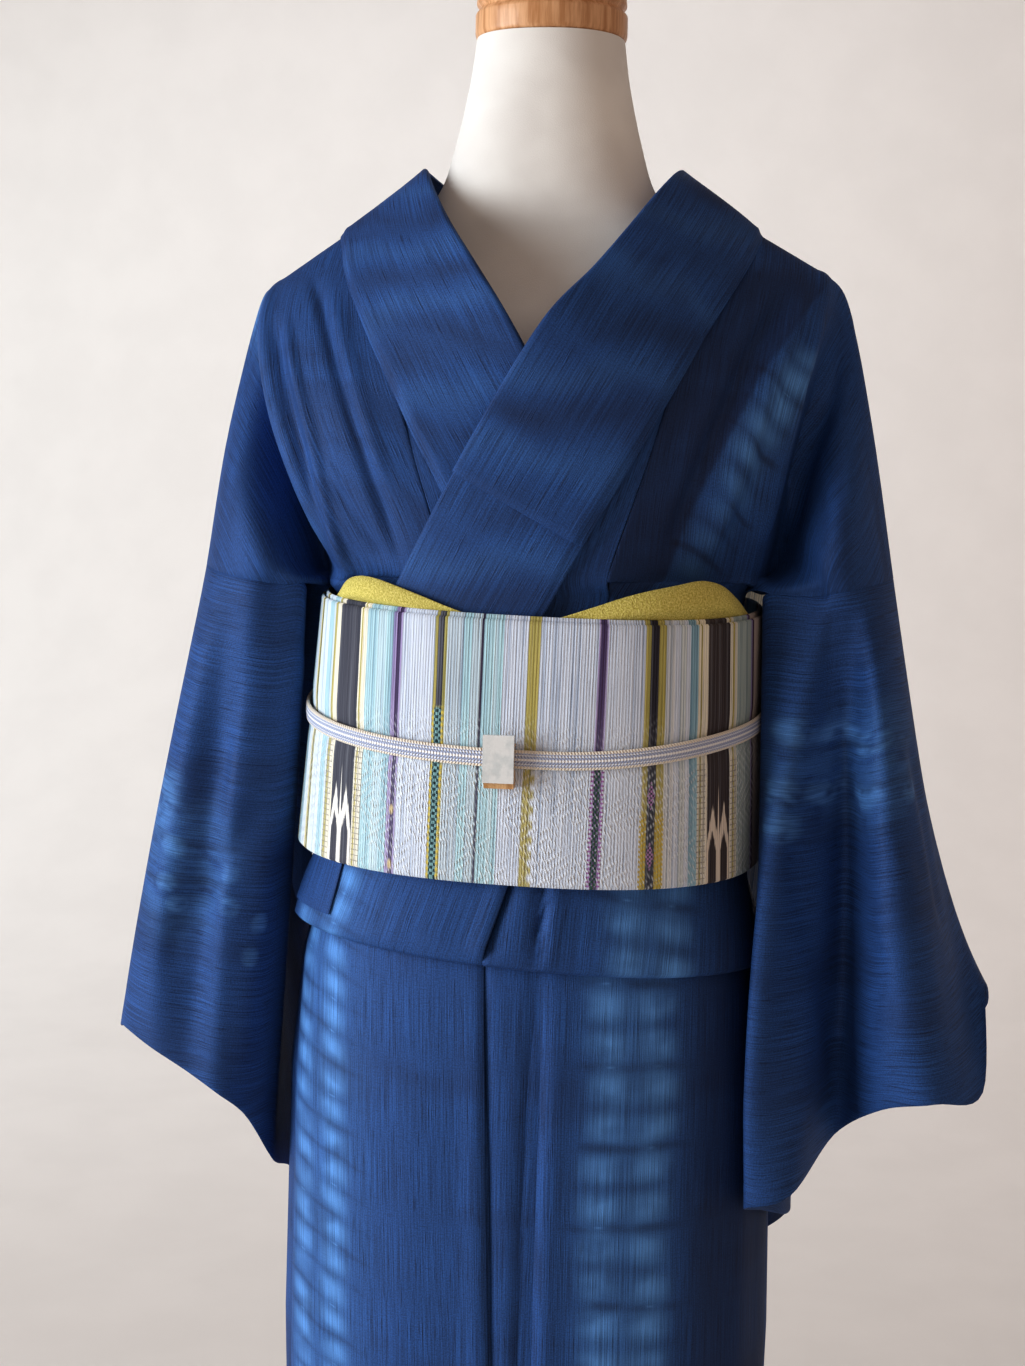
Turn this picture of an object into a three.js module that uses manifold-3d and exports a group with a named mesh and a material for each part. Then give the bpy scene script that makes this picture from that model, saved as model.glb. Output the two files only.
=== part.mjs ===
// A tsumugi kimono with its Nagoya obi, on a limbless dress form.
// Millimetres, +Z up. The garment faces -Y, and +X is the wearer's left.
import * as THREE from "three";
import { mergeVertices } from "three/addons/utils/BufferGeometryUtils.js";
import Module from "manifold-3d";

// ---------------------------------------------------------------- driving sizes
const WALL = 1.5; // cloth wall
const LAYER = 2.8; // middle of one cloth layer to the middle of the next
const SEAM_GAP = 0.3; // between two sewn pieces
const HEM_Z = 30;
const WAIST_TURN_Z = 1030; // where the waist tie holds the fold
const FOLD_BOTTOM_Z = 893; // lower edge of the waist fold (ohashori)
const SIDE_SEAM = 205; // round the body from the front centre
const OKUMI_SEAM = -15; // the same, past the centre towards the other side
const SKIRT_LEAN = 0.03; // the okumi seam's sideways run down the skirt
const OKUMI_EDGE = -160; // free edge of the overlap panel
const SQUARENESS = 2.25; // exponent of the body's rounded section

const OBI_WALL = 2.2;
const OBI_LAYER = 3.0;
const OBI_BOTTOM_Z = 945;
const OBI_TOP_Z = 1100;
const CORD_HEIGHT = 11;
const CORD_DEPTH = 3.4;

const NAVY = 0x1d3566;
const OBI_GREY = 0xb9bfc9;
const MUSTARD = 0xb3a52e;
const CORD_GREY = 0xa3a3b8;
const FORM_WHITE = 0xe9e6e0;
const WOOD = 0xb98455;
const GLAZE = 0xe6e8ea;
const IRON = 0x8d9096;

// ---------------------------------------------------------------- small helpers
const mix = (a, b, t) => a + (b - a) * t;
const clamp = (t) => Math.min(1, Math.max(0, t));
const ease = (lo, hi, t) => {
  const k = clamp((t - lo) / (hi - lo));
  return k * k * (3 - 2 * k);
};

// The row of a table at a height: each column runs straight between the rows given.
function rowAt(table, z) {
  let i = 0;
  while (i < table.length - 2 && z > table[i + 1].z) i++;
  const a = table[i];
  const b = table[i + 1];
  const t = clamp((z - a.z) / (b.z - a.z));
  const row = {};
  for (const key of Object.keys(a)) row[key] = mix(a[key], b[key], t);
  return row;
}

// ---------------------------------------------------------------- body section
// The innermost cloth layer: half width, and depth in front of and behind the axis.
const TRUNK = [
  { z: 0, halfWidth: 141, front: 111, back: 115 },
  { z: 300, halfWidth: 153, front: 115, back: 124 },
  { z: 630, halfWidth: 160, front: 118, back: 132 },
  { z: 800, halfWidth: 157, front: 118, back: 134 },
  { z: 880, halfWidth: 149, front: 114, back: 130 },
  { z: 940, halfWidth: 126, front: 104, back: 114 },
  { z: 1030, halfWidth: 118, front: 98, back: 97 },
  { z: 1110, halfWidth: 117, front: 98, back: 95 },
];
const OBI_SECTION = [
  { z: OBI_BOTTOM_Z, halfWidth: 145, front: 127, back: 127, square: 2.45 },
  { z: OBI_TOP_Z, halfWidth: 137, front: 125.5, back: 109.5, square: 2.45 },
];

// A rounded section: plan point and outward normal at an angle from the front centre.
function sectionPoint(row, angle, offset) {
  const at = (a) => {
    const s = Math.sin(a);
    const c = Math.cos(a);
    const power = 2 / (row.square ?? SQUARENESS);
    const depth = c > 0 ? row.front : row.back;
    return new THREE.Vector2(
      row.halfWidth * Math.sign(s) * Math.abs(s) ** power,
      -depth * Math.sign(c) * Math.abs(c) ** power,
    );
  };
  const step = 0.02;
  const along = at(angle + step).sub(at(angle - step)).normalize();
  return at(angle).add(new THREE.Vector2(along.y, -along.x).multiplyScalar(offset));
}

// Angles of a section against the distance round it, kept for each height.
const ROUND_STEPS = 240;
const roundCache = new Map();
function roundTable(z) {
  if (!roundCache.has(z)) {
    const row = rowAt(TRUNK, z);
    const lengths = [0];
    let before = sectionPoint(row, 0, 0);
    for (let i = 1; i <= ROUND_STEPS; i++) {
      const next = sectionPoint(row, (Math.PI * i) / ROUND_STEPS, 0);
      lengths.push(lengths[i - 1] + next.distanceTo(before));
      before = next;
    }
    roundCache.set(z, { row, lengths });
  }
  return roundCache.get(z);
}
const halfRound = (z) => roundTable(z).lengths[ROUND_STEPS];

// A point of the trunk: a distance round from the front centre, a height, an offset outwards.
function trunkPoint(distance, z, offset) {
  const { row, lengths } = roundTable(z);
  const d = Math.min(Math.abs(distance), lengths[ROUND_STEPS]);
  let i = 0;
  while (i < ROUND_STEPS - 1 && lengths[i + 1] < d) i++;
  const t = (d - lengths[i]) / (lengths[i + 1] - lengths[i]);
  const angle = (Math.sign(distance) * Math.PI * (i + t)) / ROUND_STEPS;
  const p = sectionPoint(row, angle, offset);
  return new THREE.Vector3(p.x, p.y, z);
}

// ---------------------------------------------------------------- meshes
const kimono = new THREE.Group();

function addMesh(name, geometry, colour, roughness, metalness = 0) {
  const material = new THREE.MeshStandardMaterial({ color: colour, roughness, metalness });
  const mesh = new THREE.Mesh(geometry, material);
  mesh.name = name;
  kimono.add(mesh);
  return mesh;
}

function signedVolume(points, faces) {
  let sum = 0;
  for (const [a, b, c] of faces) sum += points[a].dot(new THREE.Vector3().crossVectors(points[b], points[c]));
  return sum;
}

function closedGeometry(points, faces) {
  const outward = signedVolume(points, faces) > 0;
  const index = faces.flatMap(([a, b, c]) => (outward ? [a, b, c] : [a, c, b]));
  const geometry = new THREE.BufferGeometry().setFromPoints(points).setIndex(index);
  geometry.computeVertexNormals();
  return geometry;
}

// A piece of cloth: a grid of middle points, given a wall and closed round its edges.
function clothGeometry(rows, wall) {
  const down = rows.length;
  const across = rows[0].length;
  const outer = [];
  const inner = [];
  for (let i = 0; i < down; i++)
    for (let j = 0; j < across; j++) {
      const along = rows[Math.min(i + 1, down - 1)][j].clone().sub(rows[Math.max(i - 1, 0)][j]);
      const over = rows[i][Math.min(j + 1, across - 1)].clone().sub(rows[i][Math.max(j - 1, 0)]);
      const normal = along.cross(over).normalize().multiplyScalar(wall / 2);
      outer.push(rows[i][j].clone().add(normal));
      inner.push(rows[i][j].clone().sub(normal));
    }
  const count = down * across;
  const at = (i, j) => i * across + j;
  const faces = [];
  for (let i = 0; i < down - 1; i++)
    for (let j = 0; j < across - 1; j++) {
      const quad = [at(i, j), at(i + 1, j), at(i + 1, j + 1), at(i, j + 1)];
      faces.push([quad[0], quad[1], quad[2]], [quad[0], quad[2], quad[3]]);
      faces.push(
        [quad[0] + count, quad[2] + count, quad[1] + count],
        [quad[0] + count, quad[3] + count, quad[2] + count],
      );
    }
  const edge = [];
  for (let j = 0; j < across - 1; j++) edge.push([at(0, j), at(0, j + 1)]);
  for (let i = 0; i < down - 1; i++) edge.push([at(i, across - 1), at(i + 1, across - 1)]);
  for (let j = across - 1; j > 0; j--) edge.push([at(down - 1, j), at(down - 1, j - 1)]);
  for (let i = down - 1; i > 0; i--) edge.push([at(i, 0), at(i - 1, 0)]);
  for (const [a, b] of edge) faces.push([a, b, b + count], [a, b + count, a + count]);
  return closedGeometry([...outer, ...inner], faces);
}

// A solid through closed rings of equal count, with a cap on each end.
function loftGeometry(rings) {
  const size = rings[0].length;
  const points = rings.flat();
  const faces = [];
  for (let i = 0; i < rings.length - 1; i++)
    for (let j = 0; j < size; j++) {
      const a = i * size + j;
      const b = i * size + ((j + 1) % size);
      faces.push([a, b, b + size], [a, b + size, a + size]);
    }
  const last = (rings.length - 1) * size;
  for (let j = 1; j < size - 1; j++) {
    faces.push([0, j + 1, j]);
    faces.push([last, last + j, last + j + 1]);
  }
  return closedGeometry(points, faces);
}

// ---------------------------------------------------------------- the two halves
// Where both halves cross in front, the folded pair nests: skirt legs 0 and 1, falling legs
// 3 and 2, rising legs 4 and 5. Away from the crossing each half has its three legs alone.
const LEGS_ALONE = [0, 1.5, 3];
const LEFT = {
  side: 1,
  legs: [1, 2, 5.6],
  okumiLean: 0.3, // sideways run of the okumi seam for each millimetre up the bodice
  okumiAtFold: OKUMI_SEAM,
  collarLift: 1.2, // how far the collar's middle stands off the panel it is sewn to
  collarSwell: 2, // and how far the middle of its width swells out
  foldLift: 4, // the round under the fold starts this far above FOLD_BOTTOM_Z
};
const RIGHT = {
  side: -1,
  legs: [0, 3, 4],
  okumiLean: 0.33,
  okumiAtFold: -34,
  collarLift: 0.4,
  collarSwell: 0,
  foldLift: 5,
};

function legOffset(half, leg, distance) {
  const alone = ease(154, 180, Math.abs(distance));
  return LAYER * mix(half.legs[leg], LEGS_ALONE[leg], alone);
}

// Where the okumi seam runs on a leg: upright on the skirt, leaning on the rising leg.
function frontEdgeAt(half, leg, z) {
  if (leg === 2) return half.okumiAtFold + (z - FOLD_BOTTOM_Z) * half.okumiLean;
  if (leg === 0) return OKUMI_SEAM + SKIRT_LEAN * Math.max(0, 900 - z);
  const lean = clamp((WAIST_TURN_Z - z) / (WAIST_TURN_Z - FOLD_BOTTOM_Z));
  return mix(OKUMI_SEAM, half.okumiAtFold, lean);
}

const mirrored = (half, p) => new THREE.Vector3(p.x * half.side, p.y, p.z);

// The ohashori's lower edge hangs lower towards the wearer's left.
const FOLD_SLOPE = 0.065;
const foldShare = (z) => clamp((965 - z) / (965 - FOLD_BOTTOM_Z));

function legPoint(half, leg, distance, z) {
  const p = mirrored(half, trunkPoint(distance, z, legOffset(half, leg, distance)));
  if (leg > 0) p.z -= FOLD_SLOPE * foldShare(z) * p.x;
  return p;
}

// The round of a fold between two legs: up over the waist tie, or down under the ohashori.
function turnPoint(half, legs, distance, z, upwards, share) {
  const from = legOffset(half, legs[0], distance);
  const to = legOffset(half, legs[1], distance);
  const radius = Math.abs(to - from) / 2;
  const angle = Math.PI * share;
  const rise = (upwards ? 1 : -1) * radius * Math.sin(angle);
  const p = mirrored(half, trunkPoint(distance, z, mix(from, to, (1 - Math.cos(angle)) / 2)));
  p.z += rise - (upwards ? 0 : FOLD_SLOPE * foldShare(z) * p.x);
  return p;
}

const SKIRT_ROWS = [HEM_Z, 300, 630, 800, 880, 940, WAIST_TURN_Z];
const FALL_ROWS = [WAIST_TURN_Z, 940, 903];
const RISE_ROWS = [903, 940, 965, 990, WAIST_TURN_Z, 1085, 1109];
const TURN_SHARES = [0.3, 0.7];

// Every row from the hem to the top of the ring-shaped part, for a strip of cloth.
// columnsAt(leg, z) gives the distances round the body of the strip's columns.
function trunkRows(half, columnsAt) {
  const rowOf = (leg, z) => columnsAt(leg, z).map((d) => legPoint(half, leg, d, z));
  const turnOf = (legs, z, upwards, share) =>
    columnsAt(share < 0.5 ? legs[0] : legs[1], z).map((d) => turnPoint(half, legs, d, z, upwards, share));
  return [
    ...SKIRT_ROWS.map((z) => rowOf(0, z)),
    ...TURN_SHARES.map((share) => turnOf([0, 1], WAIST_TURN_Z, true, share)),
    ...FALL_ROWS.map((z) => rowOf(1, z)),
    ...TURN_SHARES.map((share) => turnOf([1, 2], FOLD_BOTTOM_Z + half.foldLift, false, share)),
    ...RISE_ROWS.map((z) => rowOf(2, z)),
  ];
}

// ---------------------------------------------------------------- bodice
// Lines down the bodice, from the shoulder to the underarm: the seam to the collar or okumi,
// the fold ridge, the hollow beside it, the lobe over the sleeve and the armhole seam.
// Each entry is [x, y, z] with x outwards.
const bodiceLines = (rows) =>
  rows.map(([seam, ridge, hollow, lobe, armhole]) => ({ seam, ridge, hollow, lobe, armhole }));
const FRONT_LEFT = bodiceLines([
  [[134, -2, 1334], [177, -4, 1309], [190, -2, 1290], [207, -3, 1215], [223, 0, 1124]],
  [[131, -27, 1321], [176, -27, 1295], [184, -16, 1268], [202, -29, 1196], [217, -27, 1123]],
  [[122, -51, 1301], [168, -48, 1262], [173, -22, 1238], [194, -50, 1178], [206, -49, 1121]],
  [[107, -75, 1273], [159, -61, 1228], [164, -20, 1204], [186, -62, 1158], [195, -61, 1119]],
  [[90, -97, 1243], [151, -62, 1192], [157, -14, 1172], [178, -62, 1140], [185, -62, 1117]],
  [[73, -108, 1186], [145, -52, 1155], [152, -6, 1142], [172, -54, 1126], [177, -56, 1115]],
  [[55, -113, 1130], [139, -38, 1125], [144, -10, 1122], [144, -38, 1119], [145, -45, 1115]],
]);
const FRONT_RIGHT = bodiceLines([
  [[129, -2, 1333], [175, -4, 1301], [186, -2, 1286], [203, -3, 1214], [219, 0, 1123]],
  [[124, -27, 1318], [178, -25, 1287], [180, -12, 1264], [199, -28, 1196], [212, -27, 1122]],
  [[115, -52, 1298], [175, -45, 1260], [173, -18, 1238], [189, -48, 1178], [200, -48, 1120]],
  [[98, -77, 1268], [164, -64, 1222], [162, -22, 1204], [177, -60, 1158], [186, -60, 1118]],
  [[78, -97, 1235], [149, -76, 1186], [150, -24, 1172], [165, -64, 1140], [172, -65, 1116]],
  [[62, -106, 1186], [132, -79, 1152], [140, -22, 1142], [155, -60, 1126], [160, -61, 1114]],
  [[43, -109.5, 1130], [115, -70, 1124], [134, -18, 1121], [141, -48, 1118], [143, -51, 1114]],
]);
const BACK = bodiceLines([
  [[119, 52, 1326], [177, 26, 1288], [184, 18, 1264], [201, 26, 1196], [214, 25, 1122]],
  [[85, 98, 1312], [172, 50, 1256], [177, 30, 1236], [194, 45, 1176], [205, 45, 1120]],
  [[38, 123, 1300], [163, 68, 1218], [168, 32, 1202], [184, 54, 1156], [193, 55, 1118]],
  [[0, 128, 1295], [154, 77, 1182], [160, 30, 1170], [174, 54, 1138], [181, 56, 1116]],
  [[0, 123, 1225], [145, 76, 1148], [153, 24, 1142], [165, 46, 1124], [170, 49, 1114]],
  [[0, 112, 1155], [134, 70, 1122], [146, 16, 1120], [156, 34, 1117], [160, 37, 1114]],
]);
const CENTRE_BACK_GAP = 0.2; // each half stops this far from the centre seam
const PANEL_STEPS = [0.2, 0.4, 0.6, 0.8];

const vector = ([x, y, z]) => new THREE.Vector3(x, y, z);

// One row of the bodice: the panel swells a little between its seam and the fold ridge.
function bodiceRow(half, lines, swell) {
  const seam = vector(lines.seam);
  seam.x = Math.max(seam.x, CENTRE_BACK_GAP);
  const ridge = vector(lines.ridge);
  const panel = PANEL_STEPS.map((t) => {
    const p = seam.clone().lerp(ridge, t);
    p.y += Math.sign(p.y) * swell * Math.sin(Math.PI * t);
    return p;
  });
  const points = [seam, ...panel, ridge, vector(lines.hollow), vector(lines.lobe), vector(lines.armhole)];
  return points.map((p) => mirrored(half, p));
}

// Both halves and both okumi share these distances, so that crossing layers stay parallel.
const FRONT_COLUMNS = [OKUMI_SEAM, 20, 55, 85, 110, 135, 160, 182, SIDE_SEAM];
const FIXED_FROM = 4; // the columns before this one close up when the front edge moves in
const BACK_COLUMNS = [0, 0.16, 0.32, 0.46, 0.58, 0.7, 0.8, 0.9, 1];

function columnsFrom(columns, edge) {
  const anchor = columns[FIXED_FROM];
  const share = (anchor - edge) / (anchor - columns[0]);
  return columns.map((d, i) => (i < FIXED_FROM ? anchor + (d - anchor) * share : d));
}
const FRONT_SWELL = [0, 3, 6, 8, 9, 9, 10];
const BACK_SWELL = [3, 8, 12, 15, 15, 15];

// The armhole seam turns in under the arm to the side of the body between these rows.
function underarmRow(half, lastRow, ringRow) {
  return lastRow.map((p, i) => {
    const middle = p.clone().lerp(ringRow[i], 0.55);
    middle.z = Math.min(p.z, mix(p.z, ringRow[i].z, 0.35));
    return middle;
  });
}

// One half of the body: a single length of cloth from the front hem over the shoulder to the back hem.
function bodyRows(half, frontLines) {
  const front = trunkRows(half, (leg, z) => columnsFrom(FRONT_COLUMNS, frontEdgeAt(half, leg, z)));
  const back = trunkRows(half, (leg, z) =>
    BACK_COLUMNS.map((c) => mix(halfRound(z) - CENTRE_BACK_GAP, SIDE_SEAM + 2 * SEAM_GAP, c)),
  );
  const frontBodice = frontLines.map((lines, i) => bodiceRow(half, lines, FRONT_SWELL[i])).reverse();
  const backBodice = BACK.map((lines, i) => bodiceRow(half, lines, BACK_SWELL[i]));
  return [
    ...front,
    underarmRow(half, frontBodice[0], front[front.length - 1]),
    ...frontBodice,
    ...backBodice,
    underarmRow(half, backBodice[backBodice.length - 1], back[back.length - 1]),
    ...back.reverse(),
  ];
}

addMesh("body_left", clothGeometry(bodyRows(LEFT, FRONT_LEFT), WALL), NAVY, 0.85);
addMesh("body_right", clothGeometry(bodyRows(RIGHT, FRONT_RIGHT), WALL), NAVY, 0.85);

// ---------------------------------------------------------------- okumi
// The overlap panel: a straight strip below, narrowing to a point where the collar crosses it.
const OKUMI_COLUMNS = [OKUMI_SEAM, -20, -55, -85, -110, -135, OKUMI_EDGE];
const OKUMI_TIP_COLUMNS = [0, 0.2, 0.4, 0.6, 0.75, 0.9, 1];
// Where the collar seam cuts it on the rising leg, as a distance round from the front centre.
const OKUMI_TOP_LEFT = [
  { z: FOLD_BOTTOM_Z, edge: OKUMI_EDGE },
  { z: 940, edge: -135 },
  { z: 1030, edge: -24 },
  { z: 1109, edge: 15 },
];
const OKUMI_TOP_RIGHT = [
  { z: FOLD_BOTTOM_Z, edge: OKUMI_EDGE },
  { z: 940, edge: -135 },
  { z: 1030, edge: -50 },
  { z: 1109, edge: 7 },
];
// The tip above the ring-shaped part: seam to the body, then seam to the collar.
const OKUMI_TIP_LEFT = [
  { body: [55, -113, 1130], collar: [29, -117, 1132] },
  { body: [73, -108, 1186], collar: [60, -112, 1187] },
  { body: [88, -99, 1236], collar: [85, -100.5, 1236] },
];
const OKUMI_TIP_RIGHT = [
  { body: [43, -109.5, 1130], collar: [20, -111, 1132] },
  { body: [62, -106, 1186], collar: [51, -107, 1187] },
  { body: [76, -98, 1229], collar: [74.2, -98.8, 1229] },
];

function okumiRows(half, topEdges, tip) {
  const lower = trunkRows(half, (leg, z) => {
    const seam = frontEdgeAt(half, leg, z) - 2 * SEAM_GAP;
    const edge = leg === 2 ? rowAt(topEdges, z).edge : OKUMI_EDGE;
    const whole = leg < 2 || edge === OKUMI_EDGE;
    return OKUMI_COLUMNS.map((d, i) => {
      if (i === 0) return seam;
      if (i === 1 && whole) return Math.min(d, seam - 5);
      return whole ? d : mix(seam, edge, i / (OKUMI_COLUMNS.length - 1));
    });
  });
  const upper = tip.map(({ body, collar }) => {
    const from = vector(body);
    from.x -= 3 * SEAM_GAP;
    return OKUMI_TIP_COLUMNS.map((c) => mirrored(half, from.clone().lerp(vector(collar), c)));
  });
  return [...lower, ...upper];
}
addMesh("okumi_left", clothGeometry(okumiRows(LEFT, OKUMI_TOP_LEFT, OKUMI_TIP_LEFT), WALL), NAVY, 0.85);
addMesh("okumi_right", clothGeometry(okumiRows(RIGHT, OKUMI_TOP_RIGHT, OKUMI_TIP_RIGHT), WALL), NAVY, 0.85);

// ---------------------------------------------------------------- collar
// Stations from the front end up to the shoulder and round to the back neck: the seam to the
// body, and the fold at the collar's free edge.
const COLLAR_LEFT = [
  { seam: [-24, -118, 1036], fold: [-97, -89, 1077] },
  { seam: [16, -119.5, 1109], fold: [-59, -114, 1150] },
  { seam: [36, -121, 1146], fold: [-39, -120, 1187] },
  { seam: [62, -117.5, 1192], fold: [-13, -122, 1234] },
  { seam: [87, -104, 1239], fold: [14, -118.5, 1278] },
  { seam: [105, -79, 1275], fold: [37, -95, 1306] },
  { seam: [120.5, -54, 1304], fold: [55, -74, 1331] },
  { seam: [128.5, -29, 1322], fold: [69, -50, 1353] },
  { seam: [131.5, -2, 1335], fold: [79, -22, 1369] },
  { seam: [118, 51, 1328], fold: [80, 20, 1375] },
  { seam: [85, 97, 1314], fold: [69, 64, 1368] },
  { seam: [40, 122, 1302.5], fold: [37, 96, 1356] },
  { seam: [0, 128, 1298], fold: [0, 106, 1350] },
];
const COLLAR_RIGHT = [
  { seam: [25, -112, 1142], fold: [-44, -114, 1184] },
  { seam: [47, -109, 1183], fold: [-22, -113, 1224] },
  { seam: [62, -105, 1209], fold: [-5, -111, 1256] },
  { seam: [76, -98, 1235], fold: [12, -105, 1284] },
  { seam: [96, -78, 1269], fold: [31, -92, 1311] },
  { seam: [113.5, -53, 1300], fold: [48, -74, 1334] },
  { seam: [122.5, -28, 1320], fold: [62, -50, 1355] },
  { seam: [127.5, -2, 1335], fold: [72, -22, 1371] },
  { seam: [117, 51, 1328], fold: [78, 20, 1375] },
  { seam: [84, 97, 1314], fold: [68, 64, 1368] },
  { seam: [39, 122, 1302.5], fold: [36, 96, 1356] },
];
const EDGE_ROLL = 4.4; // the folds' own thickness, inside the stations' visible edge
const COLLAR_LAYER = 3.4; // between the middles of the folded collar's two layers
const COVER_WALL = 1.0;
const COVER_GAP = 1.5;
const COVER_INSET = 2; // the cover stops this far from the seam

const collarStations = [
  ...COLLAR_LEFT.map(({ seam, fold }) => ({
    seam: vector(seam),
    fold: vector(fold),
    lift: LEFT.collarLift,
    swell: LEFT.collarSwell,
  })),
  ...COLLAR_RIGHT.slice()
    .reverse()
    .map(({ seam, fold }) => ({
      seam: mirrored(RIGHT, vector(seam)),
      fold: mirrored(RIGHT, vector(fold)),
      lift: RIGHT.collarLift,
      swell: RIGHT.collarSwell,
    })),
];

// Outward normal of the collar at a station, away from the wearer's chest and neck.
function collarNormal(i) {
  const before = collarStations[Math.max(i - 1, 0)];
  const after = collarStations[Math.min(i + 1, collarStations.length - 1)];
  const along = after.seam.clone().add(after.fold).sub(before.seam).sub(before.fold);
  const width = collarStations[i].fold.clone().sub(collarStations[i].seam);
  return along.cross(width).normalize();
}

// A point of the collar's section: share 0 at the seam and 1 at the fold, depth out from the middle.
function collarPoint(i, share, depth, beyond = 0) {
  const { seam, fold, lift, swell } = collarStations[i];
  const width = fold.clone().sub(seam);
  const direction = width.clone().normalize();
  const p = seam.clone().addScaledVector(width.addScaledVector(direction, -EDGE_ROLL), share);
  p.addScaledVector(direction, beyond);
  return p.addScaledVector(collarNormal(i), depth + lift + swell * 4 * share * (1 - share));
}

function collarRows() {
  const half = COLLAR_LAYER / 2;
  return collarStations.map((_, i) => [
    collarPoint(i, 0, half),
    collarPoint(i, 0.5, half),
    collarPoint(i, 0.97, half),
    collarPoint(i, 1, 0, half),
    collarPoint(i, 0.97, -half),
    collarPoint(i, 0.5, -half),
    collarPoint(i, 0, -half),
  ]);
}

const COVER_STATIONS = { first: 2, last: collarStations.length - 2 };
function coverRows() {
  const depth = COLLAR_LAYER / 2 + WALL / 2 + COVER_GAP + COVER_WALL / 2;
  const rows = [];
  for (let i = COVER_STATIONS.first; i <= COVER_STATIONS.last; i++) {
    const width = collarStations[i].fold.distanceTo(collarStations[i].seam);
    rows.push([
      collarPoint(i, COVER_INSET / width, depth),
      collarPoint(i, 0.5, depth),
      collarPoint(i, 0.97, depth),
      collarPoint(i, 1, depth * 0.8, depth * 0.8),
      collarPoint(i, 1, 0, depth + 0.8),
    ]);
  }
  return rows;
}
addMesh("collar", clothGeometry(collarRows(), WALL), NAVY, 0.85);
addMesh("collar_cover", clothGeometry(coverRows(), COVER_WALL), NAVY, 0.85);

// ---------------------------------------------------------------- sleeves
// Lines along a hanging sleeve, from its seam or free inner edge to the cuff. The first seven
// start on the armhole seam, the others on the open inner edge, and the last is the bottom seam.
const SLEEVE_FRONT_LEFT = [
  { middle: [259, -4, 935], cuff: [289, -38, 807] },
  { middle: [245, -60, 958], cuff: [257, -80, 811] },
  { middle: [223, -84, 955], cuff: [226, -66, 801] },
  { middle: [202, -36, 950], cuff: [199, -20, 768] },
  { middle: [184, -50, 940], cuff: [172, -84, 749] },
  { middle: [151, -80, 930], cuff: [145, -88, 741] },
  { middle: [147, -52, 922], cuff: [155, -54, 728] },
  { top: [148.5, -27, 1088], middle: [160, -24, 890], cuff: [170, -16, 712] },
  { top: [158, -4, 990], middle: [170, 8, 850], cuff: [173, 28, 700] },
  { top: [173, 24, 925], middle: [172, 45, 800], cuff: [165, 76, 672] },
  { top: [168, 58, 865], middle: [158, 84, 760], cuff: [140, 114, 640] },
];
const SLEEVE_BACK_LEFT = [
  { middle: [259, 38, 950], cuff: [292, 8, 862] },
  { middle: [247, 72, 955], cuff: [298, 58, 836] },
  { middle: [227, 84, 950], cuff: [277, 98, 806] },
  { middle: [208, 74, 940], cuff: [244, 104, 775] },
  { middle: [194, 84, 925], cuff: [216, 122, 748] },
  { middle: [186, 88, 905], cuff: [198, 132, 722] },
  { top: [144, 46, 1113], middle: [181, 94, 870], cuff: [184, 138, 702] },
  { top: [162, 62, 985], middle: [178, 100, 835], cuff: [170, 140, 682] },
  { top: [164, 66, 925], middle: [170, 100, 795], cuff: [156, 132, 660] },
  { top: [170.4, 59.6, 865], middle: [160.4, 85.6, 760], cuff: [142.4, 115.6, 640] },
];
const SLEEVE_FRONT_RIGHT = [
  { middle: [250, -6, 930], cuff: [274, -14, 812] },
  { middle: [243, -48, 945], cuff: [262, -50, 822] },
  { middle: [226, -68, 945], cuff: [238, -70, 815] },
  { middle: [203, -62, 940], cuff: [213, -72, 801] },
  { middle: [185, -72, 930], cuff: [192, -76, 789] },
  { middle: [164, -60, 920], cuff: [177, -62, 771] },
  { middle: [154.5, -37, 905], cuff: [166, -42, 739] },
  { top: [151, -28, 1084], middle: [165, -14, 880], cuff: [170, -6, 720] },
  { top: [170, -6, 985], middle: [173, 18, 845], cuff: [171, 38, 702] },
  { top: [173, 26, 925], middle: [172, 50, 800], cuff: [163, 80, 672] },
  { top: [168, 58, 865], middle: [158, 84, 760], cuff: [138, 114, 640] },
];
const SLEEVE_BACK_RIGHT = [
  { middle: [252, 34, 945], cuff: [282, 24, 820] },
  { middle: [241, 66, 950], cuff: [277, 66, 824] },
  { middle: [224, 82, 945], cuff: [256, 96, 800] },
  { middle: [207, 74, 935], cuff: [232, 104, 772] },
  { middle: [194, 84, 920], cuff: [210, 122, 746] },
  { middle: [186, 88, 900], cuff: [196, 132, 720] },
  { top: [147, 48, 1099], middle: [181, 94, 868], cuff: [182, 138, 700] },
  { top: [162, 62, 985], middle: [178, 100, 832], cuff: [168, 140, 680] },
  { top: [164, 66, 925], middle: [170, 100, 793], cuff: [154, 132, 660] },
  { top: [170.4, 59.6, 865], middle: [160.4, 85.6, 760], cuff: [140.4, 115.6, 640] },
];
const SLEEVE_ROWS = [0, 0.2, 0.4, 0.6, 0.8, 1];
const SEAM_DROP = 0.5; // the sleeve starts this far below the armhole seam

// A smooth line through three points, at a share of the way down.
function throughThree(top, middle, end, t) {
  const control = middle.clone().multiplyScalar(2).sub(top.clone().add(end).multiplyScalar(0.5));
  const a = top.clone().lerp(control, t);
  const b = control.clone().lerp(end, t);
  return a.lerp(b, t);
}

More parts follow.
